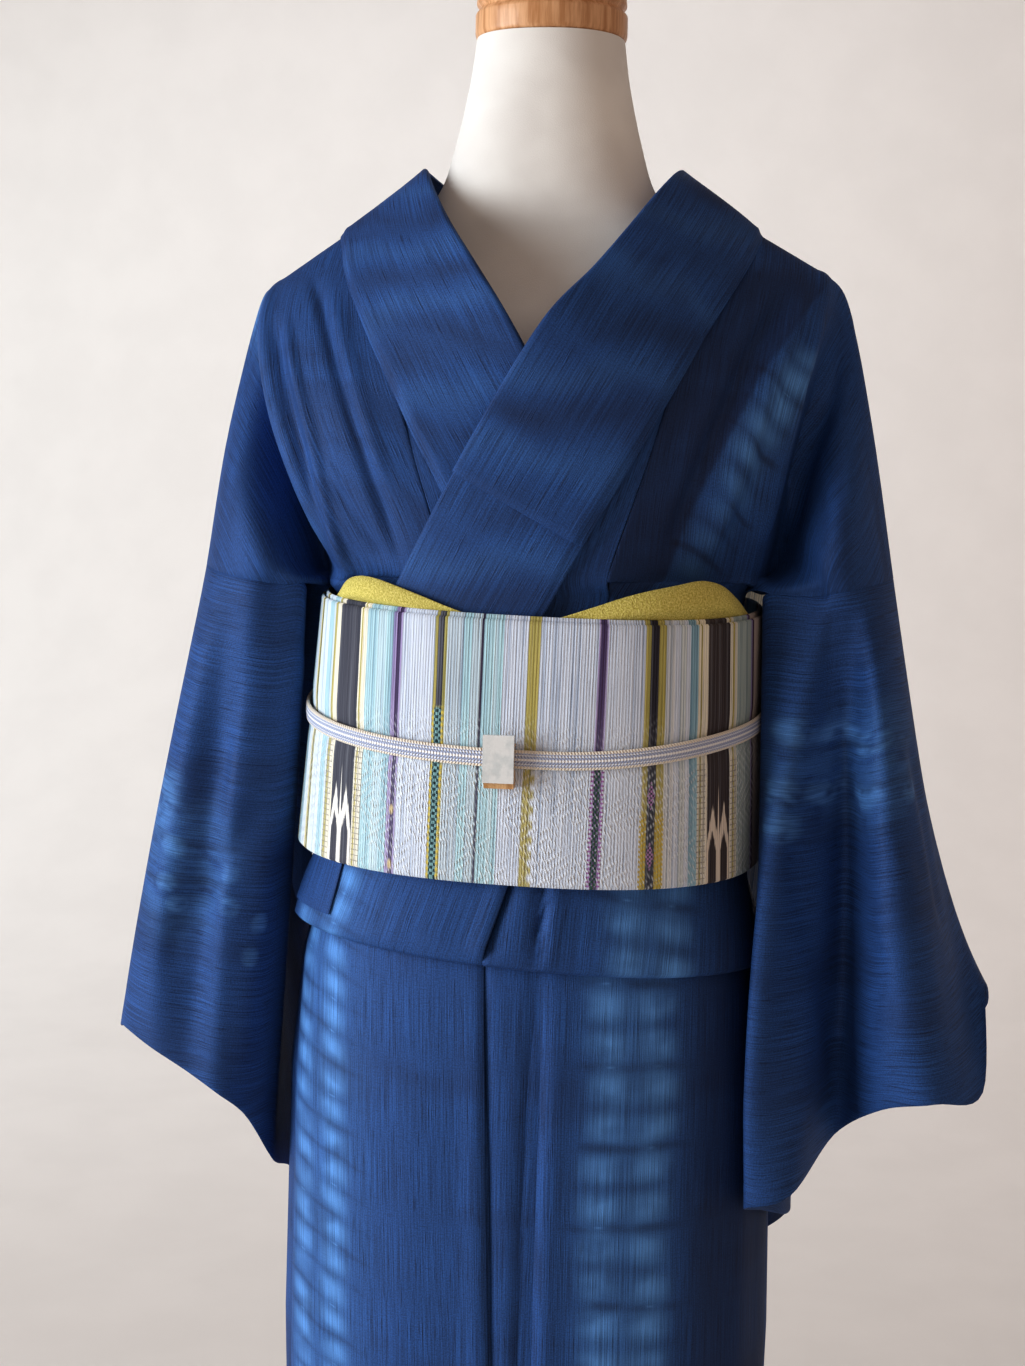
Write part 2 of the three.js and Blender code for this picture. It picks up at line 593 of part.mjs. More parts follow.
function sleeveRows(half, bodice, frontLines, backLines) {
  const line = (entry, armhole) => {
    const top = vector(entry.top ?? armhole);
    if (!entry.top) top.z -= SEAM_DROP;
    return [top, vector(entry.middle), vector(entry.cuff)];
  };
  const front = frontLines.map((entry, i) => line(entry, bodice[i]?.armhole));
  const back = backLines.map((entry, i) => line(entry, BACK[i]?.armhole));
  const lines = [...front.reverse(), ...back];
  return SLEEVE_ROWS.map((t) => lines.map((l) => mirrored(half, throughThree(...l, t))));
}
addMesh(
  "sleeve_left",
  clothGeometry(sleeveRows(LEFT, FRONT_LEFT, SLEEVE_FRONT_LEFT, SLEEVE_BACK_LEFT), WALL),
  NAVY,
  0.85,
);
addMesh(
  "sleeve_right",
  clothGeometry(sleeveRows(RIGHT, FRONT_RIGHT, SLEEVE_FRONT_RIGHT, SLEEVE_BACK_RIGHT), WALL),
  NAVY,
  0.85,
);

// ---------------------------------------------------------------- collar end at the waist fold
// The collar's lower end lies on the fold at the wearer's right and comes out from under the obi.
const FLAP_ROWS = [
  { z: 906, from: -112, to: -152 },
  { z: 925, from: -108, to: -150 },
  { z: 955, from: -103, to: -135 },
];
function flapRows() {
  const lift = LEFT.legs[2] * LAYER + WALL + 0.5;
  const steps = [0, 0.25, 0.5, 0.75, 1];
  return FLAP_ROWS.map(({ z, from, to }) =>
    steps.map((t) => {
      const p = trunkPoint(mix(from, to, t), z, lift);
      p.z -= FOLD_SLOPE * foldShare(z) * p.x;
      return p;
    }),
  );
}
addMesh("collar_end", clothGeometry(flapRows(), WALL), NAVY, 0.85);

// ---------------------------------------------------------------- obi
const OBI_TURN_STEPS = 32;
const OBI_TURNS = 2;
const OBI_TILT = { x: -0.025, y: 0.03 }; // the band rises to the wearer's right and behind
const OBI_LEAN = { bottom: -3, top: 3.5 }; // and leans sideways from its lower to its upper edge
const obiRise = (p) => OBI_TILT.x * p.x + OBI_TILT.y * (p.y + OBI_SECTION[0].front);
const obiPoint = (angle, z, offset) => {
  const p = sectionPoint(rowAt(OBI_SECTION, z), angle, offset);
  const lean = mix(OBI_LEAN.bottom, OBI_LEAN.top, (z - OBI_BOTTOM_Z) / (OBI_TOP_Z - OBI_BOTTOM_Z));
  return new THREE.Vector3(p.x + lean, p.y, z + obiRise(p));
};

// Two turns, starting and ending behind: each turn moves out to its own layer at the back.
function obiWrapRows() {
  const rows = [];
  const total = OBI_TURNS * OBI_TURN_STEPS;
  const shift = 2; // the wrap starts and ends this many steps short of the back centre
  for (let i = -shift; i <= total - shift; i++) {
    const angle = -Math.PI + (2 * Math.PI * i) / OBI_TURN_STEPS;
    const layer = ease(OBI_TURN_STEPS - 5, OBI_TURN_STEPS - 2, i);
    rows.push([OBI_BOTTOM_Z, OBI_TOP_Z].map((z) => obiPoint(angle, z, OBI_LAYER * layer)));
  }
  return rows;
}
addMesh("obi_wrap", clothGeometry(obiWrapRows(), OBI_WALL), OBI_GREY, 0.75);

// Side profile of the drum: up from the band, over the top, down behind and folded in below.
const DRUM_HALF_WIDTH = 154;
const DRUM_CURVE = 8; // the drum's edges lie this far forward of its middle
const DRUM_PROFILE = [
  [119.5, 1078],
  [121, 1102],
  [130, 1120],
  [150, 1130],
  [174, 1124],
  [190, 1100],
  [197, 1050],
  [196, 985],
  [188, 930],
  [177, 908],
  [165, 916],
  [160, 945],
  [160, 990],
  [160, 1040],
];
const DRUM_COLUMNS = [-1, -0.6, -0.2, 0.2, 0.6, 1];
const drumBend = (x) => -DRUM_CURVE * (x / DRUM_HALF_WIDTH) ** 2;

function drumRows() {
  const bandCurve = (x, y) => (y < 125 ? -26 * (x / DRUM_HALF_WIDTH) ** 2 : 0);
  return DRUM_PROFILE.map(([y, z]) =>
    DRUM_COLUMNS.map((c) => {
      const x = c * (y < 125 ? 92 : mix(92, DRUM_HALF_WIDTH, ease(120, 150, y)));
      return new THREE.Vector3(x, y + drumBend(x) + bandCurve(x, y), z);
    }),
  );
}
addMesh("obi_drum", clothGeometry(drumRows(), OBI_WALL), OBI_GREY, 0.75);

// The tail hangs out below the drum; the end lies across inside it.
const TAIL_PROFILE = [
  [129.8, 975],
  [137, 950],
  [146, 925],
  [151, 890],
  [153, 838],
];
const tailRows = () =>
  TAIL_PROFILE.map(([y, z]) =>
    DRUM_COLUMNS.map((c) => {
      const x = c * mix(80, 150, ease(960, 925, z));
      return new THREE.Vector3(x, y - 16 * (x / DRUM_HALF_WIDTH) ** 2, z);
    }),
  );
addMesh("obi_tail", clothGeometry(tailRows(), OBI_WALL), OBI_GREY, 0.75);

const END_DEPTH = 160 - OBI_WALL - 0.5;
const endRows = () =>
  [945, 1010, 1078].map((z) =>
    DRUM_COLUMNS.map((c) => {
      const x = c * (DRUM_HALF_WIDTH + 3);
      return new THREE.Vector3(x, END_DEPTH + drumBend(x), z);
    }),
  );
addMesh("obi_end", clothGeometry(endRows(), OBI_WALL), OBI_GREY, 0.75);

// ---------------------------------------------------------------- obiage
// The bustle sash shows above the obi at both sides and is tucked in at the front centre.
const OBIAGE_WALL = 1.2;
const OBIAGE_CLEAR = 0.68; // between its tucked part and the band
const OBIAGE_FROM = 8; // degrees round from the front centre, and all the way behind
const OBIAGE_TO = 346;
// Its columns stand on the band's own, so the two stay parallel.
const OBIAGE_COLUMNS = [OBIAGE_FROM];
for (let i = 1; (i * 360) / OBI_TURN_STEPS < OBIAGE_TO; i++) {
  OBIAGE_COLUMNS.push((i * 360) / OBI_TURN_STEPS);
}
OBIAGE_COLUMNS.push(OBIAGE_TO);
// Height of its upper edge, by degrees round from the front centre to each side.
const OBIAGE_CREST_LEFT = [
  { turn: 8, crest: 1104 },
  { turn: 13, crest: 1108.5 },
  { turn: 22, crest: 1116 },
  { turn: 37, crest: 1123 },
  { turn: 48, crest: 1125.5 },
  { turn: 56, crest: 1122 },
  { turn: 64, crest: 1114 },
  { turn: 73, crest: 1104 },
  { turn: 80, crest: 1098 },
  { turn: 180, crest: 1098 },
];
const OBIAGE_CREST_RIGHT = [
  { turn: 8, crest: 1101 },
  { turn: 14, crest: 1105 },
  { turn: 21, crest: 1110 },
  { turn: 30, crest: 1115 },
  { turn: 38, crest: 1118 },
  { turn: 46, crest: 1118 },
  { turn: 53, crest: 1114 },
  { turn: 60, crest: 1105 },
  { turn: 68, crest: 1098 },
  { turn: 180, crest: 1098 },
];
function obiageRows() {
  const rows = [];
  const inside = -(OBI_WALL / 2 + OBIAGE_CLEAR + OBIAGE_WALL / 2);
  for (const degrees of OBIAGE_COLUMNS) {
    const turn = degrees > 180 ? 360 - degrees : degrees;
    const crests = degrees > 180 ? OBIAGE_CREST_RIGHT : OBIAGE_CREST_LEFT;
    const crest = rowAt(crests.map((r) => ({ z: r.turn, crest: r.crest })), turn).crest;
    const angle = (degrees * Math.PI) / 180;
    const at = (z, offset) => {
      const p = obiPoint(angle, OBI_TOP_Z, offset);
      p.z += z - OBI_TOP_Z;
      return p;
    };
    const bulge = clamp((crest - 1107) / 14);
    const low = OBI_TOP_Z - 9;
    rows.push([
      at(low, inside),
      at(Math.min(OBI_TOP_Z + 1.8, mix(low, crest, 0.5)), inside),
      at(mix(low, crest, 0.62), mix(inside, 2.5, bulge)),
      at(mix(low, crest, 0.88), mix(inside, 0.5, bulge)),
      at(crest, inside),
    ]);
  }
  return rows;
}
addMesh("obiage", clothGeometry(obiageRows(), OBIAGE_WALL), MUSTARD, 0.95);

// ---------------------------------------------------------------- obijime and obidome
const CORD_CLEAR = OBI_WALL / 2 + CORD_DEPTH / 2 + 0.7;
const CORD_HEIGHTS = [
  { turn: -102, height: 1033 },
  { turn: -60, height: 1026 },
  { turn: -6, height: 1020 },
  { turn: 4, height: 1020 },
  { turn: 60, height: 1032 },
  { turn: 102, height: 1040 },
];
// Behind, the cord runs out to the drum's edge and across its face.
const CORD_BEHIND = [
  [150, 60],
  [158, 110],
  [163, 150],
  [164, 188],
  [148, 202],
  [70, 204],
  [0, 205],
];
function cordCentre(i, steps) {
  const degrees = mix(-102, 102, i / steps);
  const height = rowAt(CORD_HEIGHTS.map((r) => ({ z: r.turn, height: r.height })), degrees).height;
  return obiPoint((degrees * Math.PI) / 180, height, OBI_LAYER + CORD_CLEAR);
}
function cordRings() {
  const steps = 28;
  const centres = [];
  for (let i = 0; i <= steps; i++) centres.push(cordCentre(i, steps));
  for (const [x, y] of CORD_BEHIND) centres.push(new THREE.Vector3(x, y, 1036));
  for (const [x, y] of CORD_BEHIND.slice(0, -1).reverse()) centres.push(new THREE.Vector3(-x, y, 1034));
  const count = centres.length;
  return centres.map((p, i) => {
    const along = centres[(i + 1) % count].clone().sub(centres[(i - 1 + count) % count]).normalize();
    const out = along.clone().cross(new THREE.Vector3(0, 0, 1)).normalize();
    return [
      [-1, -0.7],
      [-1, 0.7],
      [-0.6, 1],
      [0.6, 1],
      [1, 0.7],
      [1, -0.7],
      [0.6, -1],
      [-0.6, -1],
    ].map(([o, u]) =>
      p
        .clone()
        .addScaledVector(out, (o * CORD_DEPTH) / 2)
        .add(new THREE.Vector3(0, 0, (u * CORD_HEIGHT) / 2)),
    );
  });
}
function ringLoopGeometry(rings) {
  const size = rings[0].length;
  const faces = [];
  for (let i = 0; i < rings.length; i++)
    for (let j = 0; j < size; j++) {
      const next = (i + 1) % rings.length;
      const a = i * size + j;
      const b = i * size + ((j + 1) % size);
      const c = next * size + ((j + 1) % size);
      const d = next * size + j;
      faces.push([a, b, c], [a, c, d]);
    }
  return closedGeometry(rings.flat(), faces);
}
addMesh("obijime", ringLoopGeometry(cordRings()), CORD_GREY, 0.8);

// The obidome: a wooden slide round the cord, with a glazed plate on its front.
const DOME = { width: 17.6, depth: 8, height: 26, middle: -2.1, drop: 4 };
const DOME_SLOT = { width: DOME.width + 2, depth: CORD_DEPTH + 4.8, height: CORD_HEIGHT + 3 };
const DOME_SLOT_AT = { depth: 2.2, height: 4.3 }; // the slot's middle, over the base's middle
const PLATE = { width: 18.4, depth: 3.5, height: 28.2, rise: 4.8 };
const DOME_ANGLE = -1; // round from the front centre, in degrees
const domeSeat = obiPoint((DOME_ANGLE * Math.PI) / 180, 1020, OBI_LAYER + CORD_CLEAR);

const wasm = await Module();
wasm.setup();
function box(width, depth, height, centre) {
  const geometry = new THREE.BoxGeometry(width, depth, height).translate(...centre);
  geometry.deleteAttribute("normal");
  geometry.deleteAttribute("uv");
  const merged = mergeVertices(geometry);
  const vertProperties = merged.getAttribute("position").array;
  const triVerts = new Uint32Array(merged.getIndex().array);
  return new wasm.Manifold(new wasm.Mesh({ numProp: 3, vertProperties, triVerts }));
}
function fromManifold(solid) {
  const m = solid.getMesh();
  const geometry = new THREE.BufferGeometry();
  const positions = new Float32Array(m.vertProperties);
  geometry.setAttribute("position", new THREE.BufferAttribute(positions, m.numProp));
  geometry.setIndex(new THREE.BufferAttribute(new Uint32Array(m.triVerts), 1));
  geometry.computeVertexNormals();
  return geometry;
}
const domeBlock = box(DOME.width, DOME.depth, DOME.height, [0, DOME.middle, 0]);
const domeSlot = box(DOME_SLOT.width, DOME_SLOT.depth, DOME_SLOT.height, [
  0,
  DOME_SLOT_AT.depth,
  DOME_SLOT_AT.height,
]);
const domeBase = addMesh("obidome_base", fromManifold(domeBlock.subtract(domeSlot)), WOOD, 0.45);
domeBase.position.copy(domeSeat).add(new THREE.Vector3(0, 0, -DOME.drop));
const domePlate = addMesh(
  "obidome_plate",
  new THREE.BoxGeometry(PLATE.width, PLATE.depth, PLATE.height),
  GLAZE,
  0.15,
);
domePlate.position.copy(domeBase.position);
const plateDepth = DOME.middle - DOME.depth / 2 - SEAM_GAP - PLATE.depth / 2;
domePlate.position.add(new THREE.Vector3(0, plateDepth, PLATE.rise));

// ---------------------------------------------------------------- dress form
const NECK_TOP_Z = 1453;
const FORM_SECTIONS = [
  { z: 640, halfWidth: 100, front: 78, back: 84 },
  { z: 648, halfWidth: 128, front: 98, back: 106 },
  { z: 672, halfWidth: 142, front: 108, back: 118 },
  { z: 760, halfWidth: 152, front: 113, back: 127 },
  { z: 850, halfWidth: 148, front: 112, back: 127 },
  { z: 900, halfWidth: 135, front: 103, back: 116 },
  { z: 940, halfWidth: 123, front: 97, back: 106 },
  { z: 1030, halfWidth: 115.6, front: 95.6, back: 94.6 },
  { z: 1100, halfWidth: 114, front: 93, back: 90 },
  { z: 1160, halfWidth: 128, front: 96, back: 96 },
  { z: 1215, halfWidth: 141, front: 92, back: 98 },
  { z: 1250, halfWidth: 151, front: 80, back: 92 },
  { z: 1278, halfWidth: 160, front: 62, back: 80 },
  { z: 1296, halfWidth: 156, front: 48, back: 66 },
  { z: 1310, halfWidth: 144, front: 41, back: 56 },
  { z: 1321, halfWidth: 126, front: 39, back: 50 },
  { z: 1332, halfWidth: 104, front: 40, back: 48 },
  { z: 1345, halfWidth: 82, front: 44, back: 49 },
  { z: 1362, halfWidth: 67, front: 48, back: 50 },
  { z: 1390, halfWidth: 58, front: 49, back: 49 },
  { z: 1425, halfWidth: 50, front: 47, back: 47 },
  { z: NECK_TOP_Z, halfWidth: 46, front: 46, back: 46 },
];
const FORM_STEPS = 40;
const formRings = FORM_SECTIONS.map((row) => {
  const ring = [];
  for (let j = 0; j < FORM_STEPS; j++) {
    const p = sectionPoint(row, (2 * Math.PI * j) / FORM_STEPS, 0);
    ring.push(new THREE.Vector3(p.x, p.y, row.z));
  }
  return ring;
});
addMesh("form_torso", loftGeometry(formRings), FORM_WHITE, 0.9);

const TURNED_STEPS = 48;
function turned(profile) {
  const points = profile.map(([r, z]) => new THREE.Vector2(r, z));
  return new THREE.LatheGeometry(points, TURNED_STEPS).rotateX(Math.PI / 2);
}
const CAP_Z = NECK_TOP_Z + SEAM_GAP;
const capProfile = [
  [0, CAP_Z],
  [46.5, CAP_Z],
  [47.5, CAP_Z + 3],
  [47.5, CAP_Z + 15],
  [44.5, CAP_Z + 18],
  [47, CAP_Z + 21],
  [46, CAP_Z + 30],
  [34, CAP_Z + 38],
  [16, CAP_Z + 42],
  [0, CAP_Z + 43],
];
addMesh("form_neck_cap", turned(capProfile), WOOD, 0.4);

const BASE_HEIGHT = 14;
const POLE_RADIUS = 12.5;
addMesh(
  "form_flange",
  turned([
    [0, 626],
    [40, 626],
    [42, 628],
    [42, 640 - SEAM_GAP],
    [0, 640 - SEAM_GAP],
  ]),
  IRON,
  0.4,
  0.8,
);
addMesh(
  "form_pole",
  turned([
    [0, BASE_HEIGHT + SEAM_GAP],
    [POLE_RADIUS, BASE_HEIGHT + SEAM_GAP],
    [POLE_RADIUS, 626 - SEAM_GAP],
    [0, 626 - SEAM_GAP],
  ]),
  IRON,
  0.35,
  0.8,
);
addMesh(
  "form_base",
  turned([
    [0, 0],
    [158, 0],
    [160, 2],
    [160, 6],
    [152, 10],
    [30, BASE_HEIGHT],
    [0, BASE_HEIGHT],
  ]),
  WOOD,
  0.45,
);

export default kimono;
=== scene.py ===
"""The looks of the tsumugi kimono on its dress form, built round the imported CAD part.

Sizes are in millimetres, as in the part's own source, and turn into metres when a mesh is made.
The camera, the room and the lights are in metres from the start.
The garment faces -Y, +X is the wearer's left, and +Z is up.
"""
import math

import bpy
import numpy as np
from mathutils import Matrix, Vector


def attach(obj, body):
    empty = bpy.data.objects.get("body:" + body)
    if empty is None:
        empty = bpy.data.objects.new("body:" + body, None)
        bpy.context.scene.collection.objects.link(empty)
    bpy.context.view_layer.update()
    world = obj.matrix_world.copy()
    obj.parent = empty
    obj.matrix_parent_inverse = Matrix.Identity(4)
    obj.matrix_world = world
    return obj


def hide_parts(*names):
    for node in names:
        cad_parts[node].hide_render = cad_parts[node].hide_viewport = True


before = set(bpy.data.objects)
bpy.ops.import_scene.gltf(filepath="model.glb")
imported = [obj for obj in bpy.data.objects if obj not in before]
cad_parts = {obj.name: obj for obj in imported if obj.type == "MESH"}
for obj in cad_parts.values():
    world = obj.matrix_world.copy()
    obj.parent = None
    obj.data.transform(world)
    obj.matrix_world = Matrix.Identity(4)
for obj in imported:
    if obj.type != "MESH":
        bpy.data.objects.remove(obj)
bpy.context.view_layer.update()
MM = 0.001

# ---------------------------------------------------------------- camera
CAMERA_DISTANCE = 1.32
CAMERA_HEIGHT = 1.20
CAMERA_SIDE = math.radians(7)  # how far round towards the wearer's left it stands
CAMERA_PAN = math.radians(0.72)
CAMERA_PITCH = math.radians(6.5)
CAMERA_ROLL = math.radians(1.1)
SENSOR = 36.0
LENS = 54.1


def add_camera():
    turn = CAMERA_SIDE + CAMERA_PAN
    forward = Vector((
        -math.sin(turn) * math.cos(CAMERA_PITCH),
        math.cos(turn) * math.cos(CAMERA_PITCH),
        -math.sin(CAMERA_PITCH),
    ))
    level = Vector((math.cos(turn), math.sin(turn), 0))
    upright = level.cross(forward)
    right = level * math.cos(CAMERA_ROLL) + upright * math.sin(CAMERA_ROLL)
    up = upright * math.cos(CAMERA_ROLL) - level * math.sin(CAMERA_ROLL)
    data = bpy.data.cameras.new("camera")
    data.sensor_width = SENSOR
    data.lens = LENS
    data.clip_start = 0.05
    camera = bpy.data.objects.new("camera", data)
    place = Vector((math.sin(CAMERA_SIDE), -math.cos(CAMERA_SIDE), 0)) * CAMERA_DISTANCE
    place.z = CAMERA_HEIGHT
    camera.matrix_world = Matrix((
        (right.x, up.x, -forward.x, place.x),
        (right.y, up.y, -forward.y, place.y),
        (right.z, up.z, -forward.z, place.z),
        (0, 0, 0, 1),
    ))
    bpy.context.collection.objects.link(camera)
    bpy.context.scene.camera = camera


add_camera()

# ---------------------------------------------------------------- driving sizes, as in the CAD
WALL = 1.5  # of the CAD's cloth
SHOWN_WALL = 0.8  # the real silk is thinner than the CAD's wall
LAYER = 2.8
SEAM_GAP = 0.3
HEM_Z = 30
WAIST_TURN_Z = 1030
FOLD_BOTTOM_Z = 893
SIDE_SEAM = 205
OKUMI_SEAM = -15
SKIRT_LEAN = 0.03
OKUMI_EDGE = -160
SQUARENESS = 2.25
OBI_WALL = 2.2
OBI_LAYER = 3.0
OBI_BOTTOM_Z = 945
OBI_TOP_Z = 1100
OBI_SQUARENESS = 2.45
CORD_HEIGHT = 11
CORD_DEPTH = 3.4


# ---------------------------------------------------------------- small helpers
def mix(a, b, t):
    return a + (b - a) * t


def ease(lo, hi, t):
    k = np.clip((np.asarray(t, float) - lo) / (hi - lo), 0, 1)
    return k * k * (3 - 2 * k)


def bell(distance, width):
    return np.exp(-((distance / width) ** 2))


def unit(vectors):
    return vectors / np.maximum(np.linalg.norm(vectors, axis=-1, keepdims=True), 1e-9)


def lengths_along(line):
    """Each point's distance along a line of points from its first one."""
    return np.concatenate([[0], np.cumsum(np.linalg.norm(np.diff(line, axis=0), axis=1))])


def at_height(z, *plan):
    """Columns of plan coordinates with one height for all of them."""
    return np.column_stack([*plan, np.full(len(plan[0]), float(z))])


def columns_of(text, rows):
    """A table with named columns: a dict of arrays."""
    names = text.split()
    return {name: np.array([row[i] for row in rows], float) for i, name in enumerate(names)}


def smooth_at(xs, ys, x):
    """A smooth line through (xs, ys), read at x."""
    xs, ys = np.asarray(xs, float), np.asarray(ys, float)
    slopes = np.gradient(ys, xs)
    x = np.clip(np.asarray(x, float), xs[0], xs[-1])
    i = np.clip(np.searchsorted(xs, x, side="right") - 1, 0, len(xs) - 2)
    gap = xs[i + 1] - xs[i]
    t = (x - xs[i]) / gap
    return (
        ys[i] * (2 * t**3 - 3 * t**2 + 1)
        + ys[i + 1] * (3 * t**2 - 2 * t**3)
        + gap * (slopes[i] * (t**3 - 2 * t**2 + t) + slopes[i + 1] * (t**3 - t**2))
    )


def resample(grid, where):
    """A smooth surface through the rows of a grid, read at fractional row numbers."""
    grid = np.asarray(grid, float)
    where = np.asarray(where, float)
    last = len(grid) - 1
    i = np.clip(np.floor(where).astype(int), 0, last - 1)
    t = (where - i).reshape((-1,) + (1,) * (grid.ndim - 1))
    before = np.where(i.reshape(t.shape) > 0, grid[np.maximum(i - 1, 0)], 2 * grid[i] - grid[i + 1])
    after = np.where(
        i.reshape(t.shape) < last - 1, grid[np.minimum(i + 2, last)], 2 * grid[i + 1] - grid[i]
    )
    return 0.5 * (
        2 * grid[i]
        + (grid[i + 1] - before) * t
        + (2 * before - 5 * grid[i] + 4 * grid[i + 1] - after) * t**2
        + (3 * grid[i] - before - 3 * grid[i + 1] + after) * t**3
    )


def spread(points, count):
    """That many points, evenly numbered, on the smooth line or surface through the given ones."""
    return resample(points, np.linspace(0, len(points) - 1, count))


def both_ways(grid, rows, columns):
    """A grid read densely along its rows and its columns."""
    dense = resample(grid, rows)
    return np.swapaxes(resample(np.swapaxes(dense, 0, 1), columns), 0, 1)


def normals_of(grid):
    return unit(np.cross(np.gradient(grid, axis=0), np.gradient(grid, axis=1)))


# ---------------------------------------------------------------- the body's rounded section
TRUNK = columns_of("z half_width front back", [
    (0, 141, 111, 115),
    (300, 153, 115, 124),
    (630, 160, 118, 132),
    (800, 157, 118, 134),
    (880, 149, 114, 130),
    (940, 126, 104, 114),
    (1030, 118, 98, 97),
    (1110, 117, 98, 95),
])
OBI_SECTION = columns_of("z half_width front back", [
    (OBI_BOTTOM_Z, 145, 127, 127),
    (OBI_TOP_Z, 137, 125.5, 109.5),
])


def section_point(size, angle, offset, square=SQUARENESS):
    """Plan points of a rounded section at angles from the front centre, moved outwards."""
    half_width, front, back = size

    def at(a):
        s, c = np.sin(a), np.cos(a)
        power = 2 / square
        depth = np.where(c > 0, front, back)
        return np.stack([
            half_width * np.sign(s) * np.abs(s) ** power,
            -depth * np.sign(c) * np.abs(c) ** power,
        ], axis=-1)

    step = 0.02
    along = unit(at(angle + step) - at(angle - step))
    outward = np.stack([along[..., 1], -along[..., 0]], axis=-1)
    return at(angle) + outward * np.asarray(offset, float)[..., None]


def size_at(table, z):
    return tuple(float(np.interp(z, table["z"], table[k])) for k in ("half_width", "front", "back"))


ROUND_ANGLES = np.linspace(0, math.pi, 241)
round_cache = {}


def round_table(z):
    key = round(float(z), 2)
    if key not in round_cache:
        size = size_at(TRUNK, key)
        line = section_point(size, ROUND_ANGLES, np.zeros_like(ROUND_ANGLES))
        round_cache[key] = size, lengths_along(line)
    return round_cache[key]


def trunk_point(distance, z, offset):
    """Points of the trunk: distances round from the front centre, a height, offsets outwards."""
    size, lengths = round_table(z)
    distance = np.asarray(distance, float)
    angle = np.sign(distance) * np.interp(np.abs(distance), lengths, ROUND_ANGLES)
    return at_height(z, section_point(size, angle, np.broadcast_to(offset, distance.shape)))


def half_round(z):
    return round_table(z)[1][-1]


# ---------------------------------------------------------------- meshes
def arc_lengths(grid, axis):
    steps = np.linalg.norm(np.diff(grid, axis=axis), axis=2)
    start = np.zeros_like(np.take(steps, [0], axis=axis))
    return np.concatenate([start, np.cumsum(steps, axis=axis)], axis=axis)


def make_object(name, points, faces, flat):
    """A smooth mesh; flat holds each point's place in the cloth, in metres."""
    mesh = bpy.data.meshes.new(name)
    mesh.from_pydata((np.asarray(points) * MM).tolist(), [], faces)
    layer = mesh.uv_layers.new(name="cloth")
    corners = np.asarray(flat, np.float32)[[v for f in faces for v in f]]
    layer.data.foreach_set("uv", corners.ravel())
    mesh.shade_smooth()
    mesh.set_sharp_from_angle(angle=math.radians(60))
    piece = bpy.data.objects.new(name, mesh)
    bpy.context.collection.objects.link(piece)
    return piece


RIM = 0.45  # how far the rounded rim stands out, as a share of the wall


def cloth(name, grid, wall, flat=None):
    """A sheet of cloth through a grid of middle points, with a wall and a rounded rim.

    flat holds each point's place in the cloth before it was sewn, in millimetres.
    """
    down, across = grid.shape[:2]
    normal = normals_of(grid) * wall / 2
    if flat is None:
        flat = np.dstack([arc_lengths(grid, 1), arc_lengths(grid, 0)])
    border = (
        [(0, j) for j in range(across - 1)]
        + [(i, across - 1) for i in range(down - 1)]
        + [(down - 1, j) for j in range(across - 1, 0, -1)]
        + [(i, 0) for i in range(down - 1, 0, -1)]
    )
    rows = np.array([i for i, _ in border])
    cols = np.array([j for _, j in border])
    inside_row = np.clip(rows, 1, down - 2)
    inside_col = np.clip(cols, 1, across - 2)
    away = unit(grid[rows, cols] - grid[inside_row, inside_col])
    rim_points = grid[rows, cols] + away * wall * RIM
    points = np.concatenate([
        (grid + normal).reshape(-1, 3),
        (grid - normal).reshape(-1, 3),
        rim_points,
    ])
    uv = np.concatenate([flat.reshape(-1, 2)] * 2 + [flat[rows, cols]]) * MM
    count = down * across
    number = np.arange(count).reshape(down, across)
    a, b = number[:-1, :-1].ravel(), number[1:, :-1].ravel()
    c, d = number[1:, 1:].ravel(), number[:-1, 1:].ravel()
    faces = np.column_stack([a, b, c, d]).tolist()
    faces += (np.column_stack([a, d, c, b]) + count).tolist()
    ring = [i * across + j for i, j in border]
    total = len(ring)
    for k in range(total):
        n = (k + 1) % total
        faces.append([ring[k], ring[n], 2 * count + n, 2 * count + k])
        faces.append([2 * count + k, 2 * count + n, ring[n] + count, ring[k] + count])
    return make_object(name, points, faces, uv)


# ---------------------------------------------------------------- materials
def feed(tree, slot, value):
    """Gives a slot a plain number or colour, a Signal or another node's output."""
    value = getattr(value, "out", value)
    if isinstance(value, bpy.types.NodeSocket):
        tree.links.new(value, slot)
    else:
        slot.default_value = value


class Signal:
    """A number inside a material. Arithmetic on it adds Math nodes."""

    def __init__(self, tree, out):
        self.tree, self.out = tree, out

    def math(self, operation, *others):
        node = self.tree.nodes.new("ShaderNodeMath")
        node.operation = operation
        for slot, value in zip(node.inputs, (self,) + others):
            feed(self.tree, slot, value)
        return Signal(self.tree, node.outputs[0])

    def __add__(self, other):
        return self.math("ADD", other)

    def __sub__(self, other):
        return self.math("SUBTRACT", other)

    def __mul__(self, other):
        return self.math("MULTIPLY", other)

    def __truediv__(self, other):
        return self.math("DIVIDE", other)

    def flipped(self):
        return (self * -1) + 1

    def distance(self, other):
        return (self - other).math("ABSOLUTE")

    def cycle(self, period):
        """0 to 1 over each period."""
        return (self / period).math("FRACT")

    def step(self, lo, hi):
        """0 below lo, 1 above hi, smooth between; the other way round where lo is over hi."""
        node = self.tree.nodes.new("ShaderNodeMapRange")
        node.interpolation_type = "SMOOTHSTEP"
        self.tree.links.new(self.out, node.inputs["Value"])
        node.inputs["From Min"].default_value = min(lo, hi)
        node.inputs["From Max"].default_value = max(lo, hi)
        node.inputs["To Min"].default_value = 0 if lo < hi else 1
        node.inputs["To Max"].default_value = 1 if lo < hi else 0
        return Signal(self.tree, node.outputs["Result"])

    def spot(self, centre, width):
        """1 at the centre, falling off smoothly to 0 at the width."""
        return self.distance(centre).step(width, 0)


